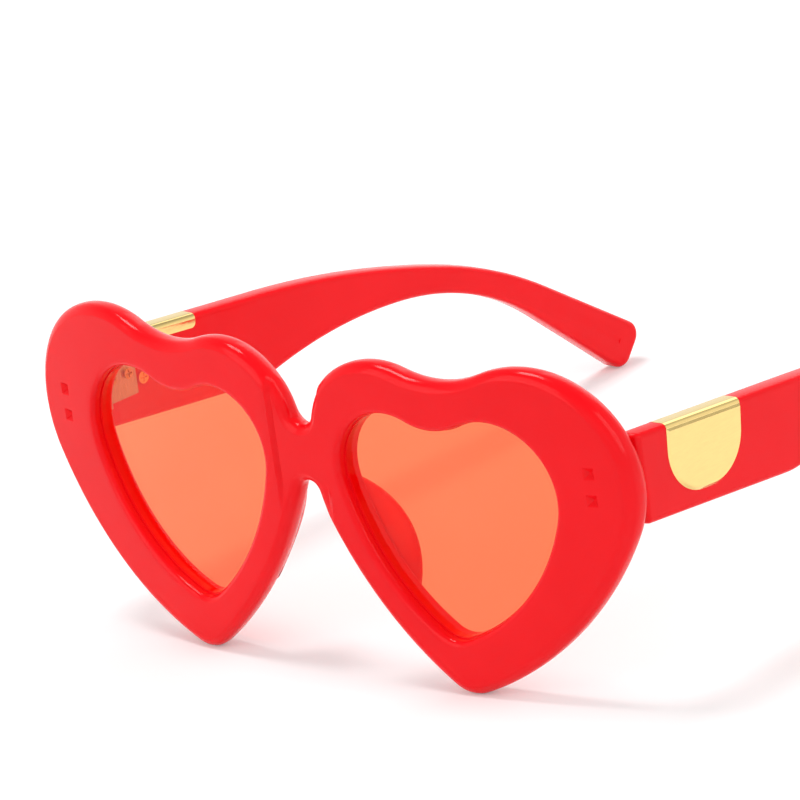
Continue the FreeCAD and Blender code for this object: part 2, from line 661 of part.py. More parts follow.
# Hinge screw: head on the upper barrel, shank down through all three
pivot_screw = screw("pivot_screw", "sizes.pivot_screw_radius", STACK_HEIGHT,
                    "sizes.pivot_head_radius", "sizes.pivot_head_height")
stack_top = Vector(pivot_x, pivot_y, 2 * hinge_z - stack_low)
sub_part(pivot_screw, "hinge_screw_left", front_place * Placement(stack_top, Rotation(Z_AXIS, -Z_AXIS)))

# Front: the half is cut for the groove, the leaf and the dimples, then mirrored and joined
front_cuts = fused("front_cuts", [seat] + dimples + front_holes)
front_grooved = combine("Cut", "front_grooved", front_rounded, groove)
front_half = combine("Cut", "front_half", front_grooved, front_cuts)
front_other = doc.addObject("Part::Mirroring", "front_other")
front_other.Source = front_half
front_other.Normal = X_AXIS
front = combine("Fuse", "front", front_half, front_other)
front.Refine = True
sub_part(front, "front_frame", front_place)

# Nose pad: a segment of a thick disc behind the rim, turned away from the nose
pad_lean = math.radians(size("pad_length_angle"))
pad_run = Vector(math.sin(pad_lean), 0, -math.cos(pad_lean))
pad_side = pad_run.cross(Y_AXIS)
splay = math.radians(size("pad_splay"))
pad_back = Y_AXIS * math.cos(splay) + pad_side * math.sin(splay)
pad_axis = pad_side * math.cos(splay) - Y_AXIS * math.sin(splay)
pad_foot = Vector(size("pad_x"), surface_y(back_radius, size("pad_x")), size("pad_z"))
pad_centre = pad_foot + pad_back * (size("pad_depth") - size("pad_radius"))
pad_disc = cylinder("pad_disc", pad_centre - pad_axis * (size("pad_width") / 2), pad_axis,
                    "sizes.pad_radius", "sizes.pad_width")
pad_blank = combine("Common", "pad_blank", pad_disc,
                    wrap_cylinder("pad_behind", "sizes.wrap_radius - sizes.front_thickness"))
doc.recompute()


def on_back(point):
    """Whether a point lies on the front's back face."""
    return near(math.hypot(point.x, point.y - wrap_radius), back_radius)


pad_feet = edges_where(pad_blank.Shape, on_back)
pad_rims = [edge for edge in pad_blank.Shape.Edges if not any(edge.isSame(foot) for foot in pad_feet)]
pad = edge_work("Fillet", "pad", pad_blank, [(edge, size("pad_round")) for edge in pad_rims])
sub_part(pad, "nose_pad_left", front_place)

# Hinge temple leaf, in the frame of the hinge axis: a plate on the inner face, with one barrel
inner_face = size("temple_offset") - size("leaf_thickness")
middle_low = -size("barrel_height") / 2
temple_knuckle = [
    box("temple_plate", Vector(inner_face, 0, -size("leaf_height") / 2), "sizes.leaf_thickness",
        "sizes.temple_leaf_length", "sizes.leaf_height"),
    box("temple_web", Vector(0, 0, middle_low), "sizes.temple_offset", "sizes.barrel_radius",
        "sizes.barrel_height"),
    cylinder("temple_barrel", Vector(0, 0, middle_low), Z_AXIS, "sizes.barrel_radius",
             "sizes.barrel_height"),
]
temple_bore = cylinder("temple_bore", Vector(0, 0, middle_low), Z_AXIS, PIVOT_BORE, "sizes.barrel_height")
temple_seats = [
    Vector(inner_face, size("temple_screw_start") + number * size("temple_screw_pitch"), 0)
    for number in range(2)
]
temple_holes = [
    cylinder("temple_screw_hole", place, X_AXIS, SCREW_HOLE, LEAF_SHANK + " + sizes.screw_clearance")
    for place in temple_seats
]
temple_leaf = combine("Cut", "temple_leaf", fused("temple_leaf_blank", temple_knuckle),
                      fused("temple_leaf_holes", [temple_bore] + temple_holes))
sub_part(temple_leaf, "hinge_temple_leaf_left", pivot_place)
for place, position in zip(temple_seats, ("front", "rear")):
    leaf_screw = screw("temple_leaf_screw_" + position, "sizes.leaf_screw_radius", LEAF_SHANK,
                       "sizes.leaf_head_radius", "sizes.leaf_head_height")
    sub_part(leaf_screw, f"temple_leaf_screw_{position}_left",
             pivot_place * Placement(place, Rotation(Z_AXIS, X_AXIS)))

# Metal trim, in the frame of the bar: a tongue on the outer face, folded over the top edge
sheet_x = size("temple_thickness") + size("trim_gap")
fold_x = -size("trim_gap") - size("trim_thickness")
trim_y = size("trim_start")
FOLD_RISE = " + sizes.trim_gap + sizes.trim_thickness"
tongue = box("trim_tongue", Vector(sheet_x, trim_y, half_height - size("trim_drop")),
             "sizes.trim_thickness", "sizes.trim_width", "sizes.trim_drop" + FOLD_RISE)
tab = box("trim_tab", Vector(fold_x, trim_y, half_height - size("trim_tab_drop")),
          "sizes.trim_thickness", "sizes.trim_width", "sizes.trim_tab_drop" + FOLD_RISE)
doc.recompute()
low_ends = []
for plate, corner in ((tongue, "trim_corner"), (tab, "trim_tab_corner")):
    floor = plate.Placement.Base.z
    corners = [
        edge for edge in plate.Shape.Edges
        if near(edge.BoundBox.ZMax, floor) and near(edge.BoundBox.YLength, 0)
    ]
    picks = [(edge, size(corner)) for edge in corners]
    low_ends.append(edge_work("Fillet", plate.Name + "_rounded", plate, picks))
flange = box("trim_flange", Vector(fold_x, trim_y, half_height + size("trim_gap")),
             "sizes.temple_thickness + 2 * sizes.trim_gap + 2 * sizes.trim_thickness",
             "sizes.trim_width", "sizes.trim_thickness")
post_y = trim_y + size("trim_post_inset")
post_z = half_height - size("trim_post_drop")
post_root = Vector(sheet_x, post_y, post_z)
POST_LENGTH = "sizes.temple_thickness / 2 + sizes.trim_gap"
post = cylinder("trim_post", post_root, -X_AXIS, "sizes.trim_post_radius", POST_LENGTH)
TRIM_HOLE = "sizes.trim_screw_radius + sizes.screw_clearance"
inner_post = Vector(0, post_y, post_z)
shank_hole = cylinder("trim_shank_hole", inner_post, X_AXIS, TRIM_HOLE,
                      "sizes.trim_screw_length + sizes.screw_clearance")
trim_blank = combine("Cut", "trim_blank", fused("trim_folded", low_ends + [flange, post]), shank_hole)
doc.recompute()
outer_plane = sheet_x + size("trim_thickness")
trim = edge_work("Chamfer", "trim", trim_blank, [
    (edge, size("trim_bevel"))
    for edge in edges_where(trim_blank.Shape, lambda point: near(point.x, outer_plane))
])
sub_part(trim, "temple_trim_left", temple_place)
trim_screw = screw("trim_screw", "sizes.trim_screw_radius", "sizes.trim_screw_length",
                   "sizes.trim_head_radius", "sizes.trim_head_height")
sub_part(trim_screw, "trim_screw_left", temple_place * Placement(inner_post, Rotation(Z_AXIS, X_AXIS)))

# Temple: cut to follow the front's back face, and drilled for the leaf and the trim
behind_front = wrap_cylinder("behind_front", "sizes.wrap_radius - sizes.front_thickness - sizes.temple_gap")
behind_front.Placement = temple_place.inverse() * front_place * behind_front.Placement
post_hole = cylinder("trim_post_hole", post_root, -X_AXIS, "sizes.trim_post_radius + sizes.screw_clearance",
                     POST_LENGTH + " + sizes.screw_clearance")
bar_holes = []
for place in temple_seats:
    hole = cylinder("bar_screw_hole", place, X_AXIS, SCREW_HOLE, LEAF_SHANK + " + sizes.screw_clearance")
    hole.Placement = bar_place.inverse() * hole.Placement
    bar_holes.append(hole)
temple = combine("Cut", "temple", combine("Common", "temple_fitted", temple_rounded, behind_front),
                 fused("temple_holes", bar_holes + [post_hole, shank_hole]))
sub_part(temple, "temple_left", temple_place)

doc.recompute()
failed = [item.Label for item in doc.Objects if {"Invalid", "Error"} & set(item.State)]
if failed:
    raise RuntimeError("these objects failed: " + ", ".join(failed))
for node in nodes:
    if node.Shape.isNull() or not node.Shape.isValid() or len(node.Shape.Solids) != 1:
        raise RuntimeError(node.Label + " isn't one valid solid")

os.makedirs("parts", exist_ok=True)
for node in nodes:
    node.Shape.exportStep("parts/" + node.Label + ".step")
print("hinge axis, left:", pivot_place.Base, "front at y", front_place.Base.y)
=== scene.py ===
"""Heart-shaped sunglasses: moulded front, tinted lenses, nose pads, temples and gold trims on a floor."""

import json
import math
from collections import namedtuple

import bmesh
import bpy
from bpy.props import FloatProperty, FloatVectorProperty, PointerProperty
from mathutils import Matrix, Vector


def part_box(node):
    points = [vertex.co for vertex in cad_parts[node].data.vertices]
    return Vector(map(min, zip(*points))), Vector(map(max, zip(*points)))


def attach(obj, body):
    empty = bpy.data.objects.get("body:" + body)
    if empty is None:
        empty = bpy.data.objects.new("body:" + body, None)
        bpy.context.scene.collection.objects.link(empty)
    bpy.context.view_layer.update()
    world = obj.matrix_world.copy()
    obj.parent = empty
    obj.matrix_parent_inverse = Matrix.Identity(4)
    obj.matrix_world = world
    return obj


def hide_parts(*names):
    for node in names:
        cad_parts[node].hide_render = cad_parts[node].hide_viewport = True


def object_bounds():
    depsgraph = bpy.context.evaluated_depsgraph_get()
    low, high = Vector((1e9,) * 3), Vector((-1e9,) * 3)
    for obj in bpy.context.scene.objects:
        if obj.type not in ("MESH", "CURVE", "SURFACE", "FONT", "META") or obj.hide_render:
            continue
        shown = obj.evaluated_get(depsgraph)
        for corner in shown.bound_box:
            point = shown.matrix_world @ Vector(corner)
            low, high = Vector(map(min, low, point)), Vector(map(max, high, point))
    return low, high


bl_info = {
    "name": "Heart-shaped sunglasses",
    "version": (1, 0, 0),
    "blender": (4, 5, 0),
    "location": "3D View > Sidebar > Sunglasses",
    "description": "Builds heart-shaped sunglasses around their packed frame",
    "category": "Add Mesh",
}

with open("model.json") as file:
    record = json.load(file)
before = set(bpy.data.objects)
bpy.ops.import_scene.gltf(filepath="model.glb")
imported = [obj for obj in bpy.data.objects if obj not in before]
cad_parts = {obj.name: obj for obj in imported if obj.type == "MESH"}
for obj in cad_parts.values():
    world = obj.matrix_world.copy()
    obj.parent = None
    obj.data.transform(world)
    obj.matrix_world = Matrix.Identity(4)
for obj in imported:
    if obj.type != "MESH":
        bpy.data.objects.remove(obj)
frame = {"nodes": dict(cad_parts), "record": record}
CAD_LOW, CAD_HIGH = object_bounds()
JOINTS = {joint["name"]: joint for joint in frame["record"]["behaviour"]["joints"]}
SIDES = {"left": 1, "right": -1}
MM = 0.001
FRONT_Y = CAD_LOW.y
SHARP_ANGLE = math.radians(35)
MERGE = 2e-6
RED_FINISH = "polished_red"
IMAGE_PIXELS = 800
SENSOR_WIDTH = 36.0


def size(label, millimetres, note):
    """A length that a user may change."""
    return FloatProperty(name=label, description=note, default=millimetres * MM, precision=5, unit="LENGTH")


def angle(label, degrees, note):
    """An angle that a user may change."""
    return FloatProperty(name=label, description=note, default=math.radians(degrees), unit="ROTATION")


def colour(label, value, note):
    """A linear colour that a user may change."""
    return FloatVectorProperty(name=label, description=note, default=(*value, 1.0), size=4,
                               min=0.0, max=1.0, subtype="COLOR")


def number(label, value, note):
    """A plain number that a user may change."""
    return FloatProperty(name=label, description=note, default=value)


def power(label, watts, note):
    """A lamp's power that a user may change."""
    return FloatProperty(name=label, description=note, default=watts, unit="POWER")


class FrontSizes(bpy.types.PropertyGroup):
    """Sizes of the moulded front, for the wearer's left heart; the right one mirrors it."""

    wrap_radius: size("Wrap radius", 330.0, "Bend of the front round the face")
    thickness: size("Thickness", 6.0, "Front to back")
    inner_lobe_x: size("Inner lobe X", 19.4, "Centre of the lobe beside the bridge")
    inner_lobe_z: size("Inner lobe Z", 45.9, "Centre of the lobe beside the bridge")
    inner_lobe_radius: size("Inner lobe radius", 17.2, "Lobe beside the bridge")
    outer_lobe_x: size("Outer lobe X", 52.3, "Centre of the lobe beside the hinge")
    outer_lobe_z: size("Outer lobe Z", 42.4, "Centre of the lobe beside the hinge")
    outer_lobe_radius: size("Outer lobe radius", 22.0, "Lobe beside the hinge")
    dip_radius: size("Dip radius", 26.0, "Hollow between the two lobes")
    tip_x: size("Tip X", 33.7, "Centre of the heart's point")
    tip_z: size("Tip Z", 7.2, "Centre of the heart's point")
    tip_radius: size("Tip radius", 7.2, "Heart's point")
    outer_side_radius: size("Outer side radius", 66.0, "Long side towards the hinge")
    inner_side_radius: size("Inner side radius", 80.0, "Long side towards the nose")
    notch_radius: size("Notch radius", 3.0, "Hollow above the bridge")
    bridge_low: size("Bridge height", 37.6, "Top of the arch under the bridge")
    arch_radius: size("Arch radius", 2.8, "Arch under the bridge")
    roll_width: size("Roll width", 1.75, "Rounding of the outer edge, across the front face")
    roll_depth: size("Roll depth", 2.0, "Rounding of the outer edge, front to back")
    roll_line: angle("Roll line", 22.0, "Turn of the rounding left out where it meets the front face")
    roll_hold: size("Roll hold", 0.15, "Level strip along the rounding, which keeps its line crisp")
    back_round: size("Back rounding", 2.6, "Rounding of the outer edge at the back, across the face")
    back_depth: size("Back rounding depth", 3.5, "Rounding of the outer edge at the back, front to back")
    bridge_recess: size("Bridge recess", 0.8, "How far the bridge's face lies behind the hearts")
    recess_start: size("Recess start", 5.9, "Half width of the bridge's level face")
    recess_end: size("Recess end", 6.7, "Half width of the bridge's face with its slopes")
    recess_fade: size("Recess fade", 6.0, "Below the bridge, where the recess runs out")
    dimple_inset: size("Dimple inset", 8.2, "From the widest point to the pressed dimples")
    dimple_pitch: size("Dimple pitch", 5.2, "Between the two dimples of a side")
    dimple_width: size("Dimple width", 2.3, "Side of the square dimple")
    dimple_depth: size("Dimple depth", 1.0, "Pressed depth")
    seat_clearance: size("Leaf seat clearance", 0.1, "Round the sunk hinge leaf")


class OpeningSizes(bpy.types.PropertyGroup):
    """Sizes of the lens openings and lenses, for the wearer's left heart."""

    inner_lobe_x: size("Inner lobe X", 21.65, "Centre of the lobe beside the bridge")
    inner_lobe_z: size("Inner lobe Z", 41.5, "Centre of the lobe beside the bridge")
    inner_lobe_radius: size("Inner lobe radius", 12.05, "Lobe beside the bridge")
    outer_lobe_x: size("Outer lobe X", 44.2, "Centre of the lobe beside the hinge")
    outer_lobe_z: size("Outer lobe Z", 39.85, "Centre of the lobe beside the hinge")
    outer_lobe_radius: size("Outer lobe radius", 14.0, "Lobe beside the hinge")
    dip_radius: size("Dip radius", 13.6, "Hollow between the two lobes")
    tip_x: size("Tip X", 32.0, "Centre of the heart's point")
    tip_z: size("Tip Z", 16.7, "Centre of the heart's point")
    tip_radius: size("Tip radius", 6.3, "Heart's point")
    outer_side_radius: size("Outer side radius", 38.5, "Long side towards the hinge")
    inner_side_radius: size("Inner side radius", 47.8, "Long side towards the nose")
    edge_round: size("Edge rounding", 1.2, "Roll of the opening's front edge")
    back_round: size("Back rounding", 0.5, "Roll of the opening's back edge")
    lip: size("Lip", 0.25, "Thin step that holds the lens, inside the opening")
    lip_depth: size("Lip depth", 2.0, "From the front face to the lip")
    lens_depth: size("Lens depth", 2.5, "From the front face to the lens")
    lens_thickness: size("Lens thickness", 1.6, "Front to back")
    seat: size("Seat", 0.2, "How far the lens's edge reaches into the front")


class PadSizes(bpy.types.PropertyGroup):
    """Sizes of the nose pads."""

    centre_x: size("Centre X", 12.4, "Middle of the pad, from the bridge")
    centre_z: size("Centre Z", 26.6, "Middle of the pad, above the floor")
    radius: size("Radius", 19.0, "Curve of the pad's crest")
    reach: size("Reach", 6.0, "How far it stands behind the front")
    sink: size("Sink", 0.25, "How far its root lies in the front")
    crest_width: size("Crest width", 4.2, "Across the crest")
    root_width: size("Root width", 6.8, "Across the root")
    rounding: size("Rounding", 1.7, "Rounding of the crest")
    taper: number("Taper", 0.55, "How much narrower the pad's ends are")
    slant: angle("Slant", 27.0, "Lean of the pad's length from upright")
    splay: angle("Splay", 18.0, "Lean of the crest away from the nose")


class TempleSizes(bpy.types.PropertyGroup):
    """Sizes of the temples."""

    offset: size("Offset", 3.0, "From the hinge axis to the inner face")
    thickness: size("Thickness", 4.4, "Inner to outer face")
    height: size("Height", 17.3, "At the hinge")
    rise: size("Rise", -0.6, "Middle of the temple against the middle of the hinge, upwards")
    slope: angle("Slope", 6.2, "Fall of the temple towards the ear")
    lean: angle("Lean", 2.4, "Lean of the temples towards each other")
    root: size("Root", 6.0, "Length in front of the hinge axis, before it is cut to the front")
    gap: size("Gap", 0.3, "Between the temple's end and the front")
    top_straight: size("Top straight", 45.1, "Straight part of the top edge")
    crown_radius: size("Crown radius", 230.0, "Long curve of the top edge")
    crown_angle: angle("Crown angle", 12.6, "Turn of the long curve")
    bend_radius: size("Bend radius", 102.0, "Top edge over the ear")
    bend_angle: angle("Bend angle", 15.5, "Turn over the ear")
    tail_top: size("Tail top", 29.2, "Top edge behind the ear")
    under_straight: size("Under straight", 39.7, "Straight part of the lower edge")
    flare_radius: size("Flare radius", 20.0, "Where the lower edge turns up")
    flare_angle: angle("Flare angle", 20.0, "How far the lower edge turns up")
    belly_radius: size("Belly radius", 105.0, "Where the lower edge turns level again")
    hook_radius: size("Hook radius", 63.0, "Lower edge behind the ear")
    hook_angle: angle("Hook angle", 35.0, "Turn of the lower edge behind the ear")
    tail_under: size("Tail under", 27.9, "Lower edge of the tail")
    tail_round: size("Tail rounding", 3.0, "Corners of the tail's end")
    edge_round: size("Edge rounding", 1.0, "Long edges")
    face_inset: size("Face inset", 0.3, "Narrow strip round both flat faces, which keeps their shading even")
    crease_width: size("Crease width", 1.3, "Pressed line on the tail's inner face")
    crease_depth: size("Crease depth", 0.2, "Pressed line on the tail's inner face")
    crease_end: size("Crease end", 5.0, "From the crease to the tail's end")
    crease_drop: size("Crease drop", 4.5, "From the top edge to the crease")
    crease_length: size("Crease length", 38.0, "Pressed line along the tail")


class TrimSizes(bpy.types.PropertyGroup):
    """Sizes of the gold trims that fold over the temples' top edge."""

    start: size("Start", 6.0, "Behind the hinge axis")
    width: size("Width", 21.0, "Along the temple")
    drop: size("Drop", 14.2, "Down the outer face")
    corner: size("Corner", 9.2, "Rounding of the tongue's lower corners")
    sheet: size("Sheet", 0.35, "Thickness of the folded sheet")
    raised: size("Raised", 0.45, "Height of the raised field on the tongue")
    bevel_width: size("Bevel width", 0.55, "Slope round the raised field")
    tab_drop: size("Tab drop", 2.6, "Down the inner face")
    tab_corner: size("Tab corner", 1.0, "Rounding of the tab's corners")
    gap: size("Gap", 0.05, "Between the sheet and the temple")


class Finishes(bpy.types.PropertyGroup):
    """Colours of the finishes."""

    red: colour("Red", (0.96, 0.005, 0.011), "Moulded plastic")
    deep_red: colour("Deep red", (0.90, 0.004, 0.009), "Slower cooled patches of the plastic")
    pad_red: colour("Pad red", (0.94, 0.020, 0.028), "Nose pads")
    lens: colour("Lens", (1.0, 0.20, 0.085), "Tint of the lenses")
    gold: colour("Gold", (0.95, 0.70, 0.27), "Trims and their screws")
    steel: colour("Steel", (0.72, 0.70, 0.66), "Hinge leaves")
    brass: colour("Brass", (0.80, 0.66, 0.38), "Hinge screws")
    floor: colour("Floor", (0.80, 0.80, 0.80), "Studio floor")


class StageSettings(bpy.types.PropertyGroup):
    """Camera, lamps and floor."""

    azimuth: angle("Azimuth", 45.2, "Camera's turn round the glasses")
    elevation: angle("Elevation", 18.45, "Camera's height above the horizon")
    roll: angle("Roll", -8.6, "Camera's tilt")
    distance: size("Distance", 2000.0, "Camera to target")
    target_x: size("Target X", 26.83, "Point in the middle of the picture")
    target_depth: size("Target depth", 1.5, "Point in the middle of the picture, behind the front face")
    target_z: size("Target Z", 56.88, "Point in the middle of the picture")
    pixels_per_mm: number("Scale", 5.521, "Picture points to a millimetre")
    floor_size: size("Floor size", 4000.0, "Side of the studio floor")
    floor_glow: number("Floor glow", 0.2, "How far the floor is lifted to white in the picture")
    sky_level: number("Sky level", 0.55, "Light from all round")
    overhead_power: power("Overhead power", 8.0, "Lamp above")
    fill_power: power("Fill power", 6.5, "Large lamp in front")
    side_power: power("Side power", 6.5, "Lamp at the side")
    back_power: power("Back power", 3.5, "Lamp behind")


GROUPS = {
    "heart_front": FrontSizes,
    "heart_opening": OpeningSizes,
    "heart_pads": PadSizes,
    "heart_temples": TempleSizes,
    "heart_trims": TrimSizes,
    "heart_finishes": Finishes,
    "heart_stage": StageSettings,
}

Lamp = namedtuple("Lamp", "name place width")
LAMPS = (
    Lamp("overhead", (-0.35, -0.1, 1.3), 0.45),
    Lamp("fill", (-0.4, -1.4, 0.7), 1.2),
    Lamp("side", (1.3, 0.2, 0.8), 1.0),
    Lamp("back", (-0.3, 1.4, 0.7), 1.0),
)

Arc = namedtuple("Arc", "centre radius hollow steps")
ARCH_STEPS, INNER_SIDE_STEPS, TIP_STEPS, OUTER_SIDE_STEPS = 12, 40, 22, 44
OUTER_LOBE_STEPS, DIP_STEPS, INNER_LOBE_STEPS, NOTCH_STEPS, MIDDLE_STEPS = 60, 20, 44, 14, 6
OPENING_LOBE_STEPS = INNER_LOBE_STEPS + NOTCH_STEPS + MIDDLE_STEPS + ARCH_STEPS
ROLL_STEPS, FACE_CUTS, LENS_RINGS, PAD_STEPS, FOLD_STEPS = 9, 9, 10, 24, 6
BEVEL_SEGMENTS, TAIL_SEGMENTS, TRIM_SEGMENTS = 5, 10, 14
BAR_STEP, LEAST_BAR_STEPS = 1.2 * MM, 6


def circles_meet(first, first_radius, second, second_radius):
    """Where two circles cross, on the right of the way from the first centre to the second."""
    way = second - first
    along = (way.length_squared + first_radius ** 2 - second_radius ** 2) / (2 * way.length)
    aside = math.sqrt(first_radius ** 2 - along ** 2)
    way.normalize()
    return first + along * way + aside * Vector((way.y, -way.x))


def round_arc(x, z, radius, steps):
    """An arc that bulges out of the outline."""
    return Arc(Vector((x, z)), radius, False, steps)


def heart_arcs(heart, inner_steps):
    """The tangent arcs that both hearts share: tip, outer side, outer lobe, dip and inner lobe."""
    inner = round_arc(heart.inner_lobe_x, heart.inner_lobe_z, heart.inner_lobe_radius, inner_steps)
    outer = round_arc(heart.outer_lobe_x, heart.outer_lobe_z, heart.outer_lobe_radius, OUTER_LOBE_STEPS)
    tip = round_arc(heart.tip_x, heart.tip_z, heart.tip_radius, TIP_STEPS)
    dip_centre = circles_meet(outer.centre, outer.radius + heart.dip_radius,
                              inner.centre, inner.radius + heart.dip_radius)
    side_centre = circles_meet(outer.centre, heart.outer_side_radius - outer.radius,
                               tip.centre, heart.outer_side_radius - tip.radius)
    dip = Arc(dip_centre, heart.dip_radius, True, DIP_STEPS)
    outer_side = Arc(side_centre, heart.outer_side_radius, False, OUTER_SIDE_STEPS)
    return [tip, outer_side, outer, dip, inner]


def front_arcs(front):
    """Outline of the front's left half, from under the bridge round the heart to the notch above."""
    arcs = heart_arcs(front, INNER_LOBE_STEPS)
    tip, inner = arcs[0], arcs[-1]
    arch_centre = Vector((0.0, front.bridge_low - front.arch_radius))
    reach = inner.radius + front.notch_radius
    notch_centre = Vector((0.0, inner.centre.y + math.sqrt(reach ** 2 - inner.centre.x ** 2)))
    side_centre = circles_meet(tip.centre, front.inner_side_radius - tip.radius,
                               arch_centre, front.inner_side_radius + front.arch_radius)
    arch = Arc(arch_centre, front.arch_radius, True, ARCH_STEPS)
    inner_side = Arc(side_centre, front.inner_side_radius, False, INNER_SIDE_STEPS)
    return [arch, inner_side, *arcs, Arc(notch_centre, front.notch_radius, True, NOTCH_STEPS)]


def opening_arcs(opening):
    """Closed outline of the left lens opening, from its nose side round to its inner lobe."""
    arcs = heart_arcs(opening, OPENING_LOBE_STEPS)
    tip, inner = arcs[0], arcs[-1]
    side_centre = circles_meet(tip.centre, opening.inner_side_radius - tip.radius,
                               inner.centre, opening.inner_side_radius - inner.radius)
    return [Arc(side_centre, opening.inner_side_radius, False, INNER_SIDE_STEPS), *arcs]


def facing(arc, other):
    """Unit way from an arc's centre to the point where it runs into another arc."""
    way = (other.centre - arc.centre).normalized()
    inside_other = not arc.hollow and not other.hollow and other.radius > arc.radius
    return -way if inside_other else way


def trace(bm, arcs, ways, grow, depth, closed=False):
    """Spins a vertex along the arcs.

    The ways are the first and last radial directions, and grow widens the outline.
    """
    first = arcs[0]
    radius = first.radius - grow if first.hollow else first.radius + grow
    start = first.centre + radius * ways[0]
    verts = [bm.verts.new((start.x, depth, start.y))]
    way_in = ways[0]
    for arc, following in zip(arcs, [*arcs[1:], None]):
        way_out = facing(arc, following) if following else ways[1]
        turn = way_out.angle_signed(way_in)
        turn = -(-turn % math.tau) if arc.hollow else turn % math.tau
        steps = arc.steps if following or not closed else arc.steps - 1
        known = len(bm.verts)
        bmesh.ops.spin(bm, geom=[verts[-1]], cent=(arc.centre.x, depth, arc.centre.y), axis=(0, -1, 0),
                       angle=turn * steps / arc.steps, steps=steps)
        bm.verts.ensure_lookup_table()
        verts.extend(bm.verts[known:])
        if following:
            way_in = facing(following, arc)
    return verts


def verts_of(geom):
    """The vertices among the results of a mesh operator."""
    return [part for part in geom if isinstance(part, bmesh.types.BMVert)]


def edges_of(geom):
    """The edges among the results of a mesh operator."""
    return [part for part in geom if isinstance(part, bmesh.types.BMEdge)]


def thicken(bm, faces, way):
    """Draws faces out into a plate."""
    drawn = bmesh.ops.extrude_face_region(bm, geom=faces)["geom"]
    bmesh.ops.translate(bm, vec=way, verts=verts_of(drawn))


def round_edges(bm, edges, width):
    """Rounds edges."""
    bmesh.ops.bevel(bm, geom=edges, offset=width, affect="EDGES", segments=BEVEL_SEGMENTS,
                    profile=0.5, material=-1)


def round_corners(bm, verts, reach, segments):
    """Rounds corners of a flat outline or sheet."""
    bmesh.ops.bevel(bm, geom=verts, offset=reach, affect="VERTICES", segments=segments,
                    profile=0.5, material=-1)


def edges_along(verts):
    """The edges between neighbours of a chain of vertices."""
    return [next(e for e in a.link_edges if e.other_vert(a) is b) for a, b in zip(verts, verts[1:])]


def trace_half(bm, arcs, grow, depth):
    """Open chain of the front's left half, from the middle under the bridge to the middle above it."""
    return trace(bm, arcs, (Vector((0.0, 1.0)), Vector((0.0, -1.0))), grow, depth)


def trace_ring(bm, arcs, grow, depth):
    """Closed ring of edges along the lens opening."""
    ways = facing(arcs[0], arcs[-1]), facing(arcs[-1], arcs[0])
    verts = trace(bm, arcs, ways, grow, depth, closed=True)
    return [*edges_along(verts), bm.edges.new((verts[-1], verts[0]))]


def bridge_all(bm, loops):
    """Faces between each loop of edges and the next."""
    for first, second in zip(loops, loops[1:]):
        bmesh.ops.bridge_loops(bm, edges=first + second)


def bridge_face(bm, outer, inner):
    """A broad face between two loops; returns its edges from one loop to the other."""
    faces = bmesh.ops.bridge_loops(bm, edges=outer + inner)["faces"]
    return list({edge for face in faces for edge in face.edges} - set(outer + inner))


def quarter_turns(start=0.0):
    """Sines and cosines from a starting angle to 90 degrees."""
    for step in range(ROLL_STEPS + 1):
        turn = start + (0.5 * math.pi - start) * step / ROLL_STEPS
        yield math.sin(turn), math.cos(turn)


def clamp(value):
    """A value kept between 0 and 1."""
    return min(max(value, 0.0), 1.0)


def wrapped_y(front, x, depth):
    """Y of a point of the front that lies so deep behind its wrapped face."""
    return FRONT_Y + front.wrap_radius - math.sqrt((front.wrap_radius - depth) ** 2 - x ** 2)


def wrap(bm, front):
    """Bends a flat mesh, whose Y is the depth behind the front face, round the face."""
    for vert in bm.verts:
        vert.co.y = wrapped_y(front, vert.co.x, vert.co.y)


def recess_bridge(bm, front):
    """Sets the bridge's face back, with a crisp slope at each end; below the bridge it runs out."""
    for place in (front.recess_start, front.recess_end):
        for x in (-place, place):
            bmesh.ops.bisect_plane(bm, geom=bm.verts[:] + bm.edges[:] + bm.faces[:], dist=MERGE,
                                   plane_co=(x, 0, 0), plane_no=(1, 0, 0))
    for vert in bm.verts:
        share = (front.recess_end - abs(vert.co.x)) / (front.recess_end - front.recess_start)
        high = 1 + (vert.co.z - front.bridge_low) / front.recess_fade
        vert.co.y += front.bridge_recess * clamp(share) * clamp(high) * (1 - vert.co.y / front.thickness)


def give_finish(obj, material):
    """Gives an object one finish."""
    obj.data.materials.clear()
    obj.data.materials.append(material)


def finish_mesh(obj, material):
    """Smooth shading with crisp corners, and the piece's finish."""
    give_finish(obj, material)
    obj.data.shade_smooth()
    obj.data.set_sharp_from_angle(angle=SHARP_ANGLE)


def add_object(name, bm):
    """Turns a bmesh into an object at the origin."""
    bmesh.ops.recalc_face_normals(bm, faces=bm.faces)
    mesh = bpy.data.meshes.new(name)
    bm.to_mesh(mesh)
    bm.free()
    obj = bpy.data.objects.new(name, mesh)
    bpy.context.collection.objects.link(obj)
    return obj


def place_piece(obj, body, slot, *nodes):
    """Puts a piece on its body and hides the frame nodes that it stands for. The slot is not used."""
    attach(obj, body)
    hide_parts(*nodes)


def cut_away(obj, cutter):
    """Cuts one object's shape out of another and removes the cutter."""
    cut = obj.modifiers.new("cut", "BOOLEAN")
    cut.operation = "DIFFERENCE"
    cut.solver = "MANIFOLD"
    cut.object = cutter
    with bpy.context.temp_override(object=obj):
        bpy.ops.object.modifier_apply(modifier=cut.name)
    bpy.data.meshes.remove(cutter.data)


def mirrored(side):
    """Mirrors the left side's place onto the given side."""
    return Matrix.Diagonal((SIDES[side], 1, 1, 1))


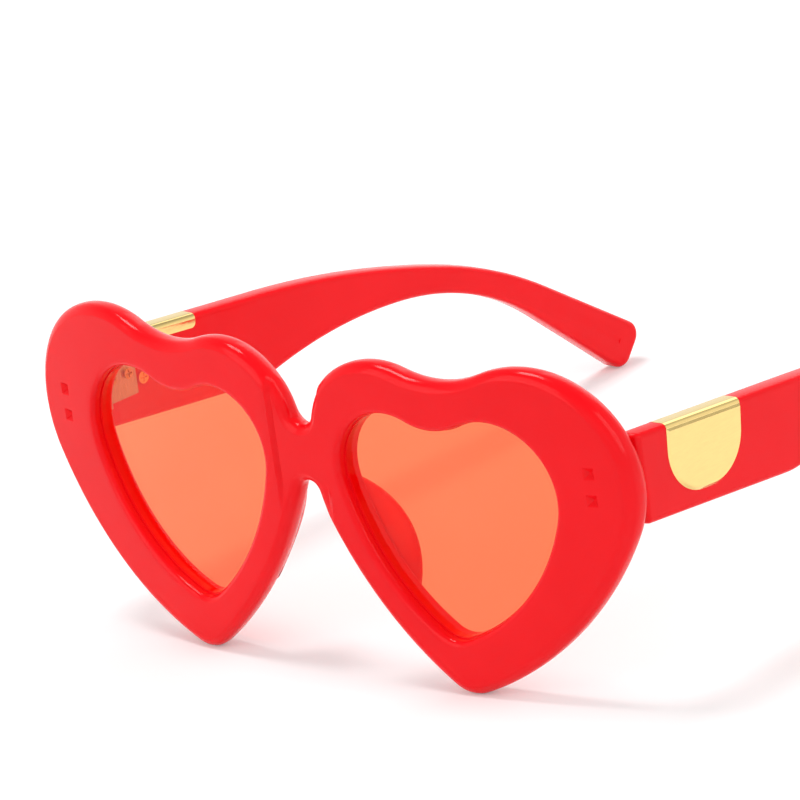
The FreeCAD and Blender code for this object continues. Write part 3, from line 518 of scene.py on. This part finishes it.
class Nodes:
    """A node tree with one shader, and short ways to add to it."""

    def __init__(self, owner, shader="Principled BSDF"):
        owner.use_nodes = True
        self.tree = owner.node_tree
        self.shader = self.tree.nodes[shader]

    def add(self, kind, **values):
        """A node of a kind, with its inputs set by name."""
        node = self.tree.nodes.new(kind)
        for name, value in values.items():
            node.inputs[name.replace("_", " ")].default_value = value
        return node

    def link(self, output, socket):
        """Joins an output to an input."""
        self.tree.links.new(output, socket)

    def noise(self, scale, detail=2.0, stretch=(1.0, 1.0, 1.0)):
        """Noise on the piece's own coordinates."""
        coordinates = self.add("ShaderNodeTexCoord")
        mapping = self.add("ShaderNodeMapping", Scale=stretch)
        noise = self.add("ShaderNodeTexNoise", Scale=scale, Detail=detail)
        self.link(coordinates.outputs["Object"], mapping.inputs["Vector"])
        self.link(mapping.outputs["Vector"], noise.inputs["Vector"])
        return noise.outputs["Fac"]

    def spread(self, value, low, high):
        """Maps noise to a range of the shader's values."""
        ranged = self.add("ShaderNodeMapRange", From_Min=0.3, From_Max=0.7, To_Min=low, To_Max=high)
        self.link(value, ranged.inputs["Value"])
        return ranged.outputs["Result"]

    def blend(self, value, first, second):
        """Base colour between two colours."""
        mix = self.tree.nodes.new("ShaderNodeMix")
        mix.data_type = "RGBA"
        colour_sockets = [socket for socket in mix.inputs if socket.type == "RGBA"]
        colour_sockets[0].default_value = first
        colour_sockets[1].default_value = second
        self.link(self.spread(value, 0.0, 1.0), mix.inputs["Factor"])
        result = next(socket for socket in mix.outputs if socket.type == "RGBA")
        self.link(result, self.shader.inputs["Base Color"])

    def bump(self, value, strength, distance):
        """Fine relief."""
        bump = self.add("ShaderNodeBump", Strength=strength, Distance=distance)
        self.link(value, bump.inputs["Height"])
        self.link(bump.outputs["Normal"], self.shader.inputs["Normal"])

    def seen(self, *more):
        """1 for rays that show a surface to the camera, in metal or through a lens."""
        path = self.add("ShaderNodeLightPath")
        value = path.outputs["Is Camera Ray"]
        for ray in ("Is Transmission Ray", *more):
            either = self.add("ShaderNodeMath")
            either.operation = "MAXIMUM"
            self.link(value, either.inputs[0])
            self.link(path.outputs[ray], either.inputs[1])
            value = either.outputs["Value"]
        return value

    def set(self, **values):
        """Plain values on the shader's own sockets."""
        for name, value in values.items():
            self.shader.inputs[name.replace("_", " ")].default_value = value


def red_plastic(finishes):
    """Polished moulded plastic, a little translucent, with faint flow marks."""
    material = bpy.data.materials.new(RED_FINISH)
    nodes = Nodes(material)
    nodes.blend(nodes.noise(45.0), finishes.red, finishes.deep_red)
    nodes.link(nodes.spread(nodes.noise(220.0), 0.10, 0.17), nodes.shader.inputs["Roughness"])
    nodes.bump(nodes.noise(500.0, 3.0), 0.04, 0.00005)
    nodes.set(Subsurface_Weight=0.12, Subsurface_Radius=(1.0, 0.12, 0.10), Subsurface_Scale=0.002,
              Specular_IOR_Level=0.16)
    return material


def pad_plastic(finishes):
    """The pads' plastic, thinner and more translucent than the front."""
    material = bpy.data.materials.new("translucent_red")
    nodes = Nodes(material)
    nodes.blend(nodes.noise(90.0), finishes.pad_red, finishes.red)
    nodes.link(nodes.spread(nodes.noise(300.0), 0.16, 0.26), nodes.shader.inputs["Roughness"])
    nodes.set(Subsurface_Weight=0.5, Subsurface_Radius=(1.0, 0.3, 0.25), Subsurface_Scale=0.004,
              Specular_IOR_Level=0.2)
    return material


def tinted_lens(finishes):
    """Clear tinted lens, polished on both faces."""
    material = bpy.data.materials.new("clear_orange_tint")
    nodes = Nodes(material)
    paler = [min(1.0, part * 1.08) for part in finishes.lens]
    nodes.blend(nodes.noise(25.0), finishes.lens, paler)
    nodes.link(nodes.spread(nodes.noise(120.0), 0.0, 0.02), nodes.shader.inputs["Roughness"])
    nodes.set(Transmission_Weight=1.0, IOR=1.25)
    shade = nodes.add("ShaderNodeBsdfTransparent", Color=finishes.lens)
    path = nodes.add("ShaderNodeLightPath")
    either = nodes.add("ShaderNodeMixShader")
    nodes.link(path.outputs["Is Shadow Ray"], either.inputs["Fac"])
    nodes.link(nodes.shader.outputs["BSDF"], either.inputs[1])
    nodes.link(shade.outputs["BSDF"], either.inputs[2])
    nodes.link(either.outputs["Shader"], nodes.tree.nodes["Material Output"].inputs["Surface"])
    return material


def polished_metal(name, tint, dark, roughness, stretch):
    """Polished or satin metal with fine marks along its length."""
    material = bpy.data.materials.new(name)
    nodes = Nodes(material)
    marks = nodes.noise(2500.0, 3.0, stretch)
    shade = [part * dark for part in tint[:3]]
    nodes.blend(marks, tint, (*shade, 1.0))
    nodes.link(nodes.spread(marks, *roughness), nodes.shader.inputs["Roughness"])
    nodes.bump(marks, 0.02, 0.00001)
    nodes.set(Metallic=1.0)
    return material


class HEART_OT_front(bpy.types.Operator):
    """Moulds the two-heart front with its rolled edges, lens openings, bridge, dimples and hinge seats"""

    bl_idname = "heart.front"
    bl_label = "Front"

    def execute(self, context):
        front, opening = context.scene.heart_front, context.scene.heart_opening
        obj = add_object("front", self.shell(front, opening))
        cut_away(obj, add_object("front_cutter", self.cutters(front)))
        finish_mesh(obj, red_plastic(context.scene.heart_finishes))
        place_piece(obj, "front", "red_plastic", "front_frame")
        return {"FINISHED"}

    def shell(self, front, opening):
        """Closed shell of the whole front; each line has a level of its own until the faces are bridged."""
        bm = bmesh.new()
        arcs, hole = front_arcs(front), opening_arcs(opening)
        chains, rings, depths = [], [], {}
        for level, (inset, depth) in enumerate(self.rim(front)):
            chains.append(trace_half(bm, arcs, -inset, 2 * level * MM))
            depths[2 * level] = depth
        for level, (grow, depth) in enumerate(self.opening_rim(front, opening)):
            rings.append(trace_ring(bm, hole, grow, (2 * level + 1) * MM))
            depths[2 * level + 1] = depth
        bridge_all(bm, [edges_along(chain) for chain in chains])
        bridge_all(bm, rings)
        across = []
        for chain, ring in ((chains[0], rings[0]), (chains[-1], rings[-1])):
            across += bridge_face(bm, edges_along(chain) + self.middle_line(bm, chain), ring)
        for vert in bm.verts:
            vert.co.y = depths[round(vert.co.y / MM)]
        bmesh.ops.subdivide_edges(bm, edges=across, cuts=FACE_CUTS, use_grid_fill=True)
        bmesh.ops.mirror(bm, geom=bm.verts[:] + bm.edges[:] + bm.faces[:], merge_dist=MERGE, axis="X")
        bmesh.ops.remove_doubles(bm, verts=bm.verts, dist=MERGE)
        recess_bridge(bm, front)
        wrap(bm, front)
        return bm

    def middle_line(self, bm, chain):
        """Edges down the middle of the bridge, which close a half outline."""
        step = (chain[0].co - chain[-1].co) / MIDDLE_STEPS
        verts = [chain[-1]]
        for _ in range(MIDDLE_STEPS - 1):
            verts += bmesh.ops.extrude_vert_indiv(bm, verts=verts[-1:])["verts"]
            bmesh.ops.translate(bm, vec=step, verts=verts[-1:])
        return [*edges_along(verts), bm.edges.new((verts[-1], chain[0]))]

    def rim(self, front):
        """Inset and depth of each line along the outer edge, from the front face to the back."""
        yield front.roll_width + front.roll_hold, 0.0
        low_sine, low_cosine = math.sin(front.roll_line), math.cos(front.roll_line)
        for sine, cosine in quarter_turns(front.roll_line):
            inset = front.roll_width * (1 - sine) / (1 - low_sine)
            yield inset, front.roll_depth * (1 - cosine / low_cosine)
        for sine, cosine in quarter_turns():
            yield front.back_round * (1 - cosine), front.thickness - front.back_depth * (1 - sine)

    def opening_rim(self, front, opening):
        """Widening and depth of each line along the lens opening, from the front face to the back."""
        for sine, cosine in quarter_turns():
            yield opening.edge_round * (1 - sine), opening.edge_round * (1 - cosine)
        yield 0.0, opening.lip_depth
        yield -opening.lip, opening.lip_depth
        for sine, cosine in quarter_turns():
            grow = opening.back_round * (1 - cosine) - opening.lip
            yield grow, front.thickness - opening.back_round * (1 - sine)

    def cutters(self, front):
        """Square dimples beside the hinges, and seats for the hinge leaves."""
        bm = bmesh.new()
        for side in SIDES:
            for shift in (-0.5, 0.5):
                self.add_dimple(bm, front, side, shift * front.dimple_pitch)
            self.add_seat(bm, front, side)
        return bm

    def add_dimple(self, bm, front, side, shift):
        """A pyramid whose base stands as far before the front face as its point lies behind it."""
        x = front.outer_lobe_x + front.outer_lobe_radius - front.dimple_inset
        place = Vector((x, wrapped_y(front, x, 0.0), JOINTS["left_hinge"]["pos_m"][2] + shift))
        turn = Matrix.Rotation(math.asin(x / front.wrap_radius), 4, "Z")
        facing_back = Matrix.Rotation(-0.5 * math.pi, 4, "X") @ Matrix.Rotation(0.25 * math.pi, 4, "Z")
        spot = mirrored(side) @ Matrix.Translation(place) @ turn @ facing_back
        bmesh.ops.create_cone(bm, cap_ends=True, segments=4, radius1=2 * front.dimple_width / math.sqrt(2),
                              radius2=0.0, depth=2 * front.dimple_depth, matrix=spot)

    def add_seat(self, bm, front, side):
        """A block a little larger than the hinge leaf."""
        low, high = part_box(f"hinge_front_leaf_{side}")
        extent = high - low + 2 * Vector((front.seat_clearance,) * 3)
        middle = Matrix.Translation((low + high) / 2)
        bmesh.ops.create_cube(bm, size=1.0, matrix=middle @ Matrix.Diagonal((*extent, 1)))


class HEART_OT_lenses(bpy.types.Operator):
    """Seats a thin tinted lens behind the lip of each opening"""

    bl_idname = "heart.lenses"
    bl_label = "Lenses"

    def execute(self, context):
        front, opening = context.scene.heart_front, context.scene.heart_opening
        material = tinted_lens(context.scene.heart_finishes)
        for side in SIDES:
            obj = add_object(f"tinted_lens_{side}", self.blank(front, opening, side))
            finish_mesh(obj, material)
            place_piece(obj, "front", "tinted_lens", f"lens_{side}")
        return {"FINISHED"}

    def blank(self, front, opening, side):
        """A heart-shaped plate, drawn in ring by ring to its middle and wrapped."""
        bm = bmesh.new()
        ring = trace_ring(bm, opening_arcs(opening), opening.seat, opening.lens_depth)
        centre = Vector(((opening.inner_lobe_x + opening.outer_lobe_x) / 2, 0.0,
                         (opening.tip_z + opening.outer_lobe_z) / 2))
        for step in range(LENS_RINGS, 1, -1):
            drawn = bmesh.ops.extrude_edge_only(bm, edges=ring)["geom"]
            ring = edges_of(drawn)
            share = (step - 1) / step
            bmesh.ops.scale(bm, vec=(share, 1.0, share), space=Matrix.Translation(-centre),
                            verts=verts_of(drawn))
        bmesh.ops.contextual_create(bm, geom=ring)
        thicken(bm, bm.faces[:], (0, opening.lens_thickness, 0))
        wrap(bm, front)
        bmesh.ops.transform(bm, matrix=mirrored(side), verts=bm.verts)
        return bm


class HEART_OT_nose_pads(bpy.types.Operator):
    """Moulds the two splayed nose pads on the back of the front"""

    bl_idname = "heart.nose_pads"
    bl_label = "Nose pads"

    def execute(self, context):
        material = pad_plastic(context.scene.heart_finishes)
        for side in SIDES:
            obj = add_object(f"nose_pad_bulge_{side}", self.bulge(context.scene, side))
            finish_mesh(obj, material)
            place_piece(obj, "front", "nose_pad", f"nose_pad_{side}")
        return {"FINISHED"}

    def bulge(self, scene, side):
        """A rounded crest on a wider root, leaning away from the nose."""
        front, pads = scene.heart_front, scene.heart_pads
        bm = bmesh.new()
        half_turn = math.acos(1 - pads.reach / pads.radius)
        start = Vector((0.0, 0.0, pads.radius))
        start.rotate(Matrix.Rotation(-half_turn, 3, "X"))
        vert = bm.verts.new(start - Vector((0.0, 0.0, pads.radius - pads.reach)))
        bmesh.ops.spin(bm, geom=[vert], cent=(0.0, 0.0, pads.reach - pads.radius), axis=(1, 0, 0),
                       angle=2 * half_turn, steps=PAD_STEPS)
        face = bmesh.ops.contextual_create(bm, geom=bm.edges[:])["faces"]
        thicken(bm, face, (pads.crest_width, 0, 0))
        bmesh.ops.translate(bm, vec=(-pads.crest_width / 2, 0, 0), verts=bm.verts)
        crest = [edge for edge in bm.edges if max(v.co.z for v in edge.verts) > MERGE
                 and abs(edge.verts[0].co.x - edge.verts[1].co.x) < MERGE]
        round_edges(bm, crest, pads.rounding)
        for vert in bm.verts:
            share = 1 - clamp(vert.co.z / pads.reach)
            along = vert.co.y / (pads.radius * math.sin(half_turn))
            vert.co.x *= 1 + (pads.root_width / pads.crest_width - 1) * share * share
            vert.co.x *= 1 - pads.taper * along * along
        root_y = wrapped_y(front, pads.centre_x, front.thickness - pads.sink)
        place = Matrix.Translation((pads.centre_x, root_y, pads.centre_z))
        lean = Matrix.Identity(4)
        lean[0][2] = math.tan(pads.splay)
        upright = Matrix.Rotation(-pads.slant, 4, "Y") @ Matrix.Rotation(-0.5 * math.pi, 4, "X") @ lean
        bmesh.ops.transform(bm, matrix=mirrored(side) @ place @ upright, verts=bm.verts)
        return bm


class Outline:
    """A pen that draws straight runs and arcs in a temple's side plane."""

    def __init__(self, bm, y, z):
        self.bm = bm
        self.vert = bm.verts.new((0.0, y, z))
        self.heading = 0.0

    def straight(self, length):
        """A straight run."""
        self.vert = bmesh.ops.extrude_vert_indiv(self.bm, verts=[self.vert])["verts"][0]
        way = Vector((0.0, math.cos(self.heading), math.sin(self.heading)))
        bmesh.ops.translate(self.bm, vec=length * way, verts=[self.vert])

    def arc(self, radius, turn):
        """An arc that turns up or down by an angle."""
        left = Vector((0.0, -math.sin(self.heading), math.cos(self.heading)))
        centre = self.vert.co + math.copysign(radius, turn) * left
        steps = max(LEAST_BAR_STEPS, round(radius * abs(turn) / BAR_STEP))
        spun = bmesh.ops.spin(self.bm, geom=[self.vert], cent=centre, axis=(1, 0, 0), angle=turn,
                              steps=steps)
        self.vert = verts_of(spun["geom_last"])[0]
        self.heading += turn


def temple_place(temples, side):
    """Matrix from a temple's own bar to its place: X out of the inner face, Y along, Z up."""
    pivot = Matrix.Translation(JOINTS["left_hinge"]["pos_m"])
    lean = Matrix.Rotation(temples.lean, 4, "Z")
    offset = Matrix.Translation((temples.offset, 0.0, temples.rise))
    return mirrored(side) @ pivot @ lean @ offset @ Matrix.Rotation(-temples.slope, 4, "X")


class HEART_OT_temples(bpy.types.Operator):
    """Cuts the two temples from plate, rounds their edges and presses the crease on their tails"""

    bl_idname = "heart.temples"
    bl_label = "Temples"

    def execute(self, context):
        material = bpy.data.materials[RED_FINISH]
        for side in SIDES:
            obj = add_object(f"temple_bar_{side}", self.bar(context.scene, side))
            cut_away(obj, add_object("crease_cutter", self.crease(context.scene.heart_temples, side)))
            finish_mesh(obj, material)
            place_piece(obj, f"{side}_temple", "red_plastic", f"temple_{side}")
        return {"FINISHED"}

    def top_edge(self, temples, pen):
        """Top edge, from the hinge to the tail."""
        pen.straight(temples.root + temples.top_straight)
        pen.arc(temples.crown_radius, -temples.crown_angle)
        pen.arc(temples.bend_radius, -temples.bend_angle)
        pen.straight(temples.tail_top)

    def lower_edge(self, temples, pen):
        """Lower edge, from the hinge to the tail."""
        pen.straight(temples.root + temples.under_straight)
        pen.arc(temples.flare_radius, temples.flare_angle)
        pen.arc(temples.belly_radius, -temples.flare_angle)
        pen.arc(temples.hook_radius, -temples.hook_angle)
        pen.straight(temples.tail_under)

    def bar(self, scene, side):
        """The whole bar, with its end cut to the front and its edges rounded."""
        temples = scene.heart_temples
        bm = bmesh.new()
        pens = [Outline(bm, -temples.root, half * temples.height) for half in (0.5, -0.5)]
        starts = [pen.vert for pen in pens]
        self.top_edge(temples, pens[0])
        self.lower_edge(temples, pens[1])
        corners = [pen.vert for pen in pens]
        bm.edges.new(starts)
        bm.edges.new(corners)
        for corner in corners:
            one, other = [edge.other_vert(corner).co - corner.co for edge in corner.link_edges]
            round_corners(bm, [corner], temples.tail_round / math.tan(one.angle(other) / 2), TAIL_SEGMENTS)
        face = bmesh.ops.contextual_create(bm, geom=bm.edges[:])["faces"]
        thicken(bm, face, (temples.thickness, 0, 0))
        bmesh.ops.transform(bm, matrix=temple_place(temples, "left"), verts=bm.verts)
        self.cut_to_front(bm, scene)
        bmesh.ops.recalc_face_normals(bm, faces=bm.faces)
        long_edges = [edge for edge in bm.edges if edge.calc_face_angle(0.0) > SHARP_ANGLE]
        round_edges(bm, long_edges, temples.edge_round)
        flats = sorted(bm.faces, key=lambda part: part.calc_area())[-2:]
        bmesh.ops.inset_individual(bm, faces=flats, thickness=temples.face_inset)
        bmesh.ops.transform(bm, matrix=mirrored(side), verts=bm.verts)
        return bm

    def cut_to_front(self, bm, scene):
        """Cuts the bar's end along the back of the front, a small gap away."""
        front, temples = scene.heart_front, scene.heart_temples
        x = JOINTS["left_hinge"]["pos_m"][0] + temples.offset + temples.thickness / 2
        point = Vector((x, wrapped_y(front, x, front.thickness + temples.gap), 0.0))
        outward = point - Vector((0.0, FRONT_Y + front.wrap_radius, 0.0))
        cut = bmesh.ops.bisect_plane(bm, geom=bm.verts[:] + bm.edges[:] + bm.faces[:], plane_co=point,
                                     plane_no=outward, clear_outer=True)["geom_cut"]
        bmesh.ops.contextual_create(bm, geom=edges_of(cut))

    def crease(self, temples, side):
        """A thin wedge along the tail, which presses the crease."""
        bm = bmesh.new()
        pen = Outline(bm, -temples.root, 0.5 * temples.height)
        self.top_edge(temples, pen)
        tail = Vector((0.0, math.cos(pen.heading), math.sin(pen.heading)))
        down = Vector((0.0, math.sin(pen.heading), -math.cos(pen.heading)))
        start = pen.vert.co - temples.crease_end * tail + temples.crease_drop * down
        bm.clear()
        width, depth = temples.crease_width, temples.crease_depth
        corners = [(-depth, width), (-depth, -width), (depth, 0.0)]
        verts = [bm.verts.new(start + Vector((x, 0, 0)) + across * down) for x, across in corners]
        face = bmesh.ops.contextual_create(bm, geom=verts)["faces"]
        thicken(bm, face, -temples.crease_length * tail)
        bmesh.ops.transform(bm, matrix=temple_place(temples, side), verts=bm.verts)
        return bm


class HEART_OT_trims(bpy.types.Operator):
    """Folds a gold trim over the top edge of each temple"""

    bl_idname = "heart.trims"
    bl_label = "Gold trims"

    def execute(self, context):
        finishes = context.scene.heart_finishes
        material = polished_metal("polished_gold", finishes.gold, dark=0.95, roughness=(0.07, 0.12),
                                  stretch=(1.0, 0.15, 1.0))
        for side in SIDES:
            obj = add_object(f"gold_trim_{side}", self.folded_sheet(context.scene, side))
            finish_mesh(obj, material)
            place_piece(obj, f"{side}_temple", "gold_trim", f"temple_trim_{side}")
            give_finish(frame["nodes"][f"trim_screw_{side}"], material)
        return {"FINISHED"}

    def folded_sheet(self, scene, side):
        """A strip bent over the top edge, with a rounded tongue outside and a short tab inside."""
        temples, trims = scene.heart_temples, scene.heart_trims
        bm = bmesh.new()
        top, fold = temples.height / 2, temples.edge_round
        vert = bm.verts.new((-trims.gap, trims.start, top - trims.tab_drop))
        vert = self.run(bm, vert, (0, 0, trims.tab_drop - fold))
        vert = self.fold(bm, vert, (fold, trims.start, top - fold))
        vert = self.run(bm, vert, (temples.thickness - 2 * fold, 0, 0))
        vert = self.fold(bm, vert, (temples.thickness - fold, trims.start, top - fold))
        self.run(bm, vert, (0, 0, fold - trims.drop))
        drawn = bmesh.ops.extrude_edge_only(bm, edges=bm.edges[:])["geom"]
        bmesh.ops.translate(bm, vec=(0, trims.width, 0), verts=verts_of(drawn))
        for low_side, corner in ((True, trims.corner), (False, trims.tab_corner)):
            outside = [v for v in bm.verts if (v.co.x > temples.thickness / 2) == low_side]
            lowest = min(v.co.z for v in outside)
            round_corners(bm, [v for v in outside if v.co.z < lowest + MERGE], corner, TRIM_SEGMENTS)
        bmesh.ops.recalc_face_normals(bm, faces=bm.faces)
        bmesh.ops.solidify(bm, geom=bm.faces[:], thickness=trims.sheet)
        bmesh.ops.recalc_face_normals(bm, faces=bm.faces)
        tongue = max(bm.faces, key=lambda part: part.normal.x * part.calc_area())
        bmesh.ops.inset_region(bm, faces=[tongue], thickness=trims.bevel_width, depth=trims.raised)
        bmesh.ops.transform(bm, matrix=temple_place(temples, side), verts=bm.verts)
        return bm

    def run(self, bm, vert, way):
        """Draws the sheet's edge along a straight way."""
        end = bmesh.ops.extrude_vert_indiv(bm, verts=[vert])["verts"][0]
        bmesh.ops.translate(bm, vec=way, verts=[end])
        return end

    def fold(self, bm, vert, centre):
        """Bends the sheet's edge a quarter turn over the temple's edge."""
        spun = bmesh.ops.spin(bm, geom=[vert], cent=centre, axis=(0, 1, 0), angle=0.5 * math.pi,
                              steps=FOLD_STEPS)
        return verts_of(spun["geom_last"])[0]


class HEART_OT_hinges(bpy.types.Operator):
    """Finishes the hinge leaves in satin steel and their screws in brass"""

    bl_idname = "heart.hinges"
    bl_label = "Hinges"

    def execute(self, context):
        finishes = context.scene.heart_finishes
        steel = polished_metal("satin_steel", finishes.steel, dark=0.85, roughness=(0.25, 0.38),
                               stretch=(1.0, 1.0, 0.15))
        brass = polished_metal("satin_brass", finishes.brass, dark=0.85, roughness=(0.20, 0.32),
                               stretch=(1.0, 1.0, 1.0))
        for name, node in frame["nodes"].items():
            if name.startswith(("hinge_front_leaf", "hinge_temple_leaf")):
                give_finish(node, steel)
            elif "leaf_screw" in name or name.startswith("hinge_screw"):
                give_finish(node, brass)
        return {"FINISHED"}


class HEART_OT_stage(bpy.types.Operator):
    """Sets up the pale floor, the soft lamps, the surroundings and the camera"""

    bl_idname = "heart.stage"
    bl_label = "Stage"

    def execute(self, context):
        stage = context.scene.heart_stage
        self.add_floor(stage, context.scene.heart_finishes)
        self.add_surroundings(context.scene, stage)
        for lamp in LAMPS:
            self.add_lamp(lamp, getattr(stage, f"{lamp.name}_power"))
        self.add_camera(context.scene, stage)
        context.scene.view_settings.view_transform = "Standard"
        return {"FINISHED"}

    def add_floor(self, stage, finishes):
        """A pale floor that keeps the shadow and reads white in the picture."""
        bm = bmesh.new()
        bmesh.ops.create_grid(bm, x_segments=8, y_segments=8, size=stage.floor_size / 2)
        obj = add_object("floor", bm)
        material = bpy.data.materials.new("pale_floor")
        nodes = Nodes(material)
        nodes.blend(nodes.noise(4.0), finishes.floor, [part * 0.99 for part in finishes.floor])
        nodes.set(Roughness=0.9, Specular_IOR_Level=0.0, Emission_Color=(1.0, 1.0, 1.0, 1.0))
        glow = nodes.add("ShaderNodeMath")
        glow.operation = "MULTIPLY"
        glow.inputs[1].default_value = stage.floor_glow
        nodes.link(nodes.seen("Is Glossy Ray"), glow.inputs[0])
        nodes.link(glow.outputs["Value"], nodes.shader.inputs["Emission Strength"])
        give_finish(obj, material)

    def add_surroundings(self, scene, stage):
        """White in view and through the lenses, darker overhead in gloss, and a soft level as light."""
        world = bpy.data.worlds.new("surroundings")
        nodes = Nodes(world, "Background")
        nodes.set(Color=(1.0, 1.0, 1.0, 1.0))
        direction = nodes.add("ShaderNodeTexCoord")
        parts = nodes.add("ShaderNodeSeparateXYZ")
        height = nodes.add("ShaderNodeMapRange", From_Min=0.2, From_Max=0.8, To_Min=1.0, To_Max=0.3)
        nodes.link(direction.outputs["Generated"], parts.inputs["Vector"])
        nodes.link(parts.outputs["Z"], height.inputs["Value"])
        path = nodes.add("ShaderNodeLightPath")
        in_gloss = nodes.add("ShaderNodeMix", A=stage.sky_level)
        nodes.link(path.outputs["Is Glossy Ray"], in_gloss.inputs["Factor"])
        nodes.link(height.outputs["Result"], in_gloss.inputs["B"])
        in_view = nodes.add("ShaderNodeMix", B=1.0)
        nodes.link(nodes.seen(), in_view.inputs["Factor"])
        nodes.link(in_gloss.outputs["Result"], in_view.inputs["A"])
        nodes.link(in_view.outputs["Result"], nodes.shader.inputs["Strength"])
        scene.world = world

    def add_lamp(self, lamp, watts):
        """A square soft lamp, aimed at the glasses."""
        light = bpy.data.lights.new(lamp.name, "AREA")
        light.size = lamp.width
        light.energy = watts
        obj = bpy.data.objects.new(lamp.name, light)
        obj.location = lamp.place
        aim = (CAD_LOW + CAD_HIGH) / 2 - obj.location
        obj.rotation_euler = aim.to_track_quat("-Z", "Y").to_euler()
        bpy.context.collection.objects.link(obj)

    def add_camera(self, scene, stage):
        """A long lens at the picture's angle."""
        camera = bpy.data.cameras.new("camera")
        camera.sensor_fit = "HORIZONTAL"
        camera.sensor_width = SENSOR_WIDTH
        camera.lens = SENSOR_WIDTH * stage.pixels_per_mm / MM * stage.distance / IMAGE_PIXELS
        obj = bpy.data.objects.new("camera", camera)
        sin_a, cos_a = math.sin(stage.azimuth), math.cos(stage.azimuth)
        sin_e, cos_e = math.sin(stage.elevation), math.cos(stage.elevation)
        look = Vector((-sin_a * cos_e, cos_a * cos_e, -sin_e))
        right = Vector((cos_a, sin_a, 0.0))
        up = right.cross(look)
        across = math.cos(stage.roll) * right + math.sin(stage.roll) * up
        upward = math.cos(stage.roll) * up - math.sin(stage.roll) * right
        target = Vector((stage.target_x, FRONT_Y + stage.target_depth, stage.target_z))
        turned = Matrix((across, upward, -look)).transposed().to_4x4()
        obj.matrix_world = Matrix.Translation(target - stage.distance * look) @ turned
        bpy.context.collection.objects.link(obj)
        scene.camera = obj


OPERATORS = (HEART_OT_front, HEART_OT_lenses, HEART_OT_nose_pads, HEART_OT_temples, HEART_OT_trims,
             HEART_OT_hinges, HEART_OT_stage)


class HEART_PT_panel(bpy.types.Panel):
    """Lists the pieces of the sunglasses"""

    bl_idname = "HEART_PT_panel"
    bl_label = "Heart-shaped sunglasses"
    bl_space_type = "VIEW_3D"
    bl_region_type = "UI"
    bl_category = "Sunglasses"

    def draw(self, context):
        for operator in OPERATORS:
            self.layout.operator(operator.bl_idname)


def register():
    """Registers the size groups, the operators and the panel."""
    for name, group in GROUPS.items():
        bpy.utils.register_class(group)
        setattr(bpy.types.Scene, name, PointerProperty(type=group))
    for part in (*OPERATORS, HEART_PT_panel):
        bpy.utils.register_class(part)


def unregister():
    """Takes out what register put in."""
    for part in (HEART_PT_panel, *reversed(OPERATORS)):
        bpy.utils.unregister_class(part)
    for name, group in reversed(GROUPS.items()):
        delattr(bpy.types.Scene, name)
        bpy.utils.unregister_class(group)


def main():
    """Builds every piece, then the stage."""
    register()
    bpy.ops.heart.front()
    bpy.ops.heart.lenses()
    bpy.ops.heart.nose_pads()
    bpy.ops.heart.temples()
    bpy.ops.heart.trims()
    bpy.ops.heart.hinges()
    bpy.ops.heart.stage()


if __name__ == "__main__":
    main()
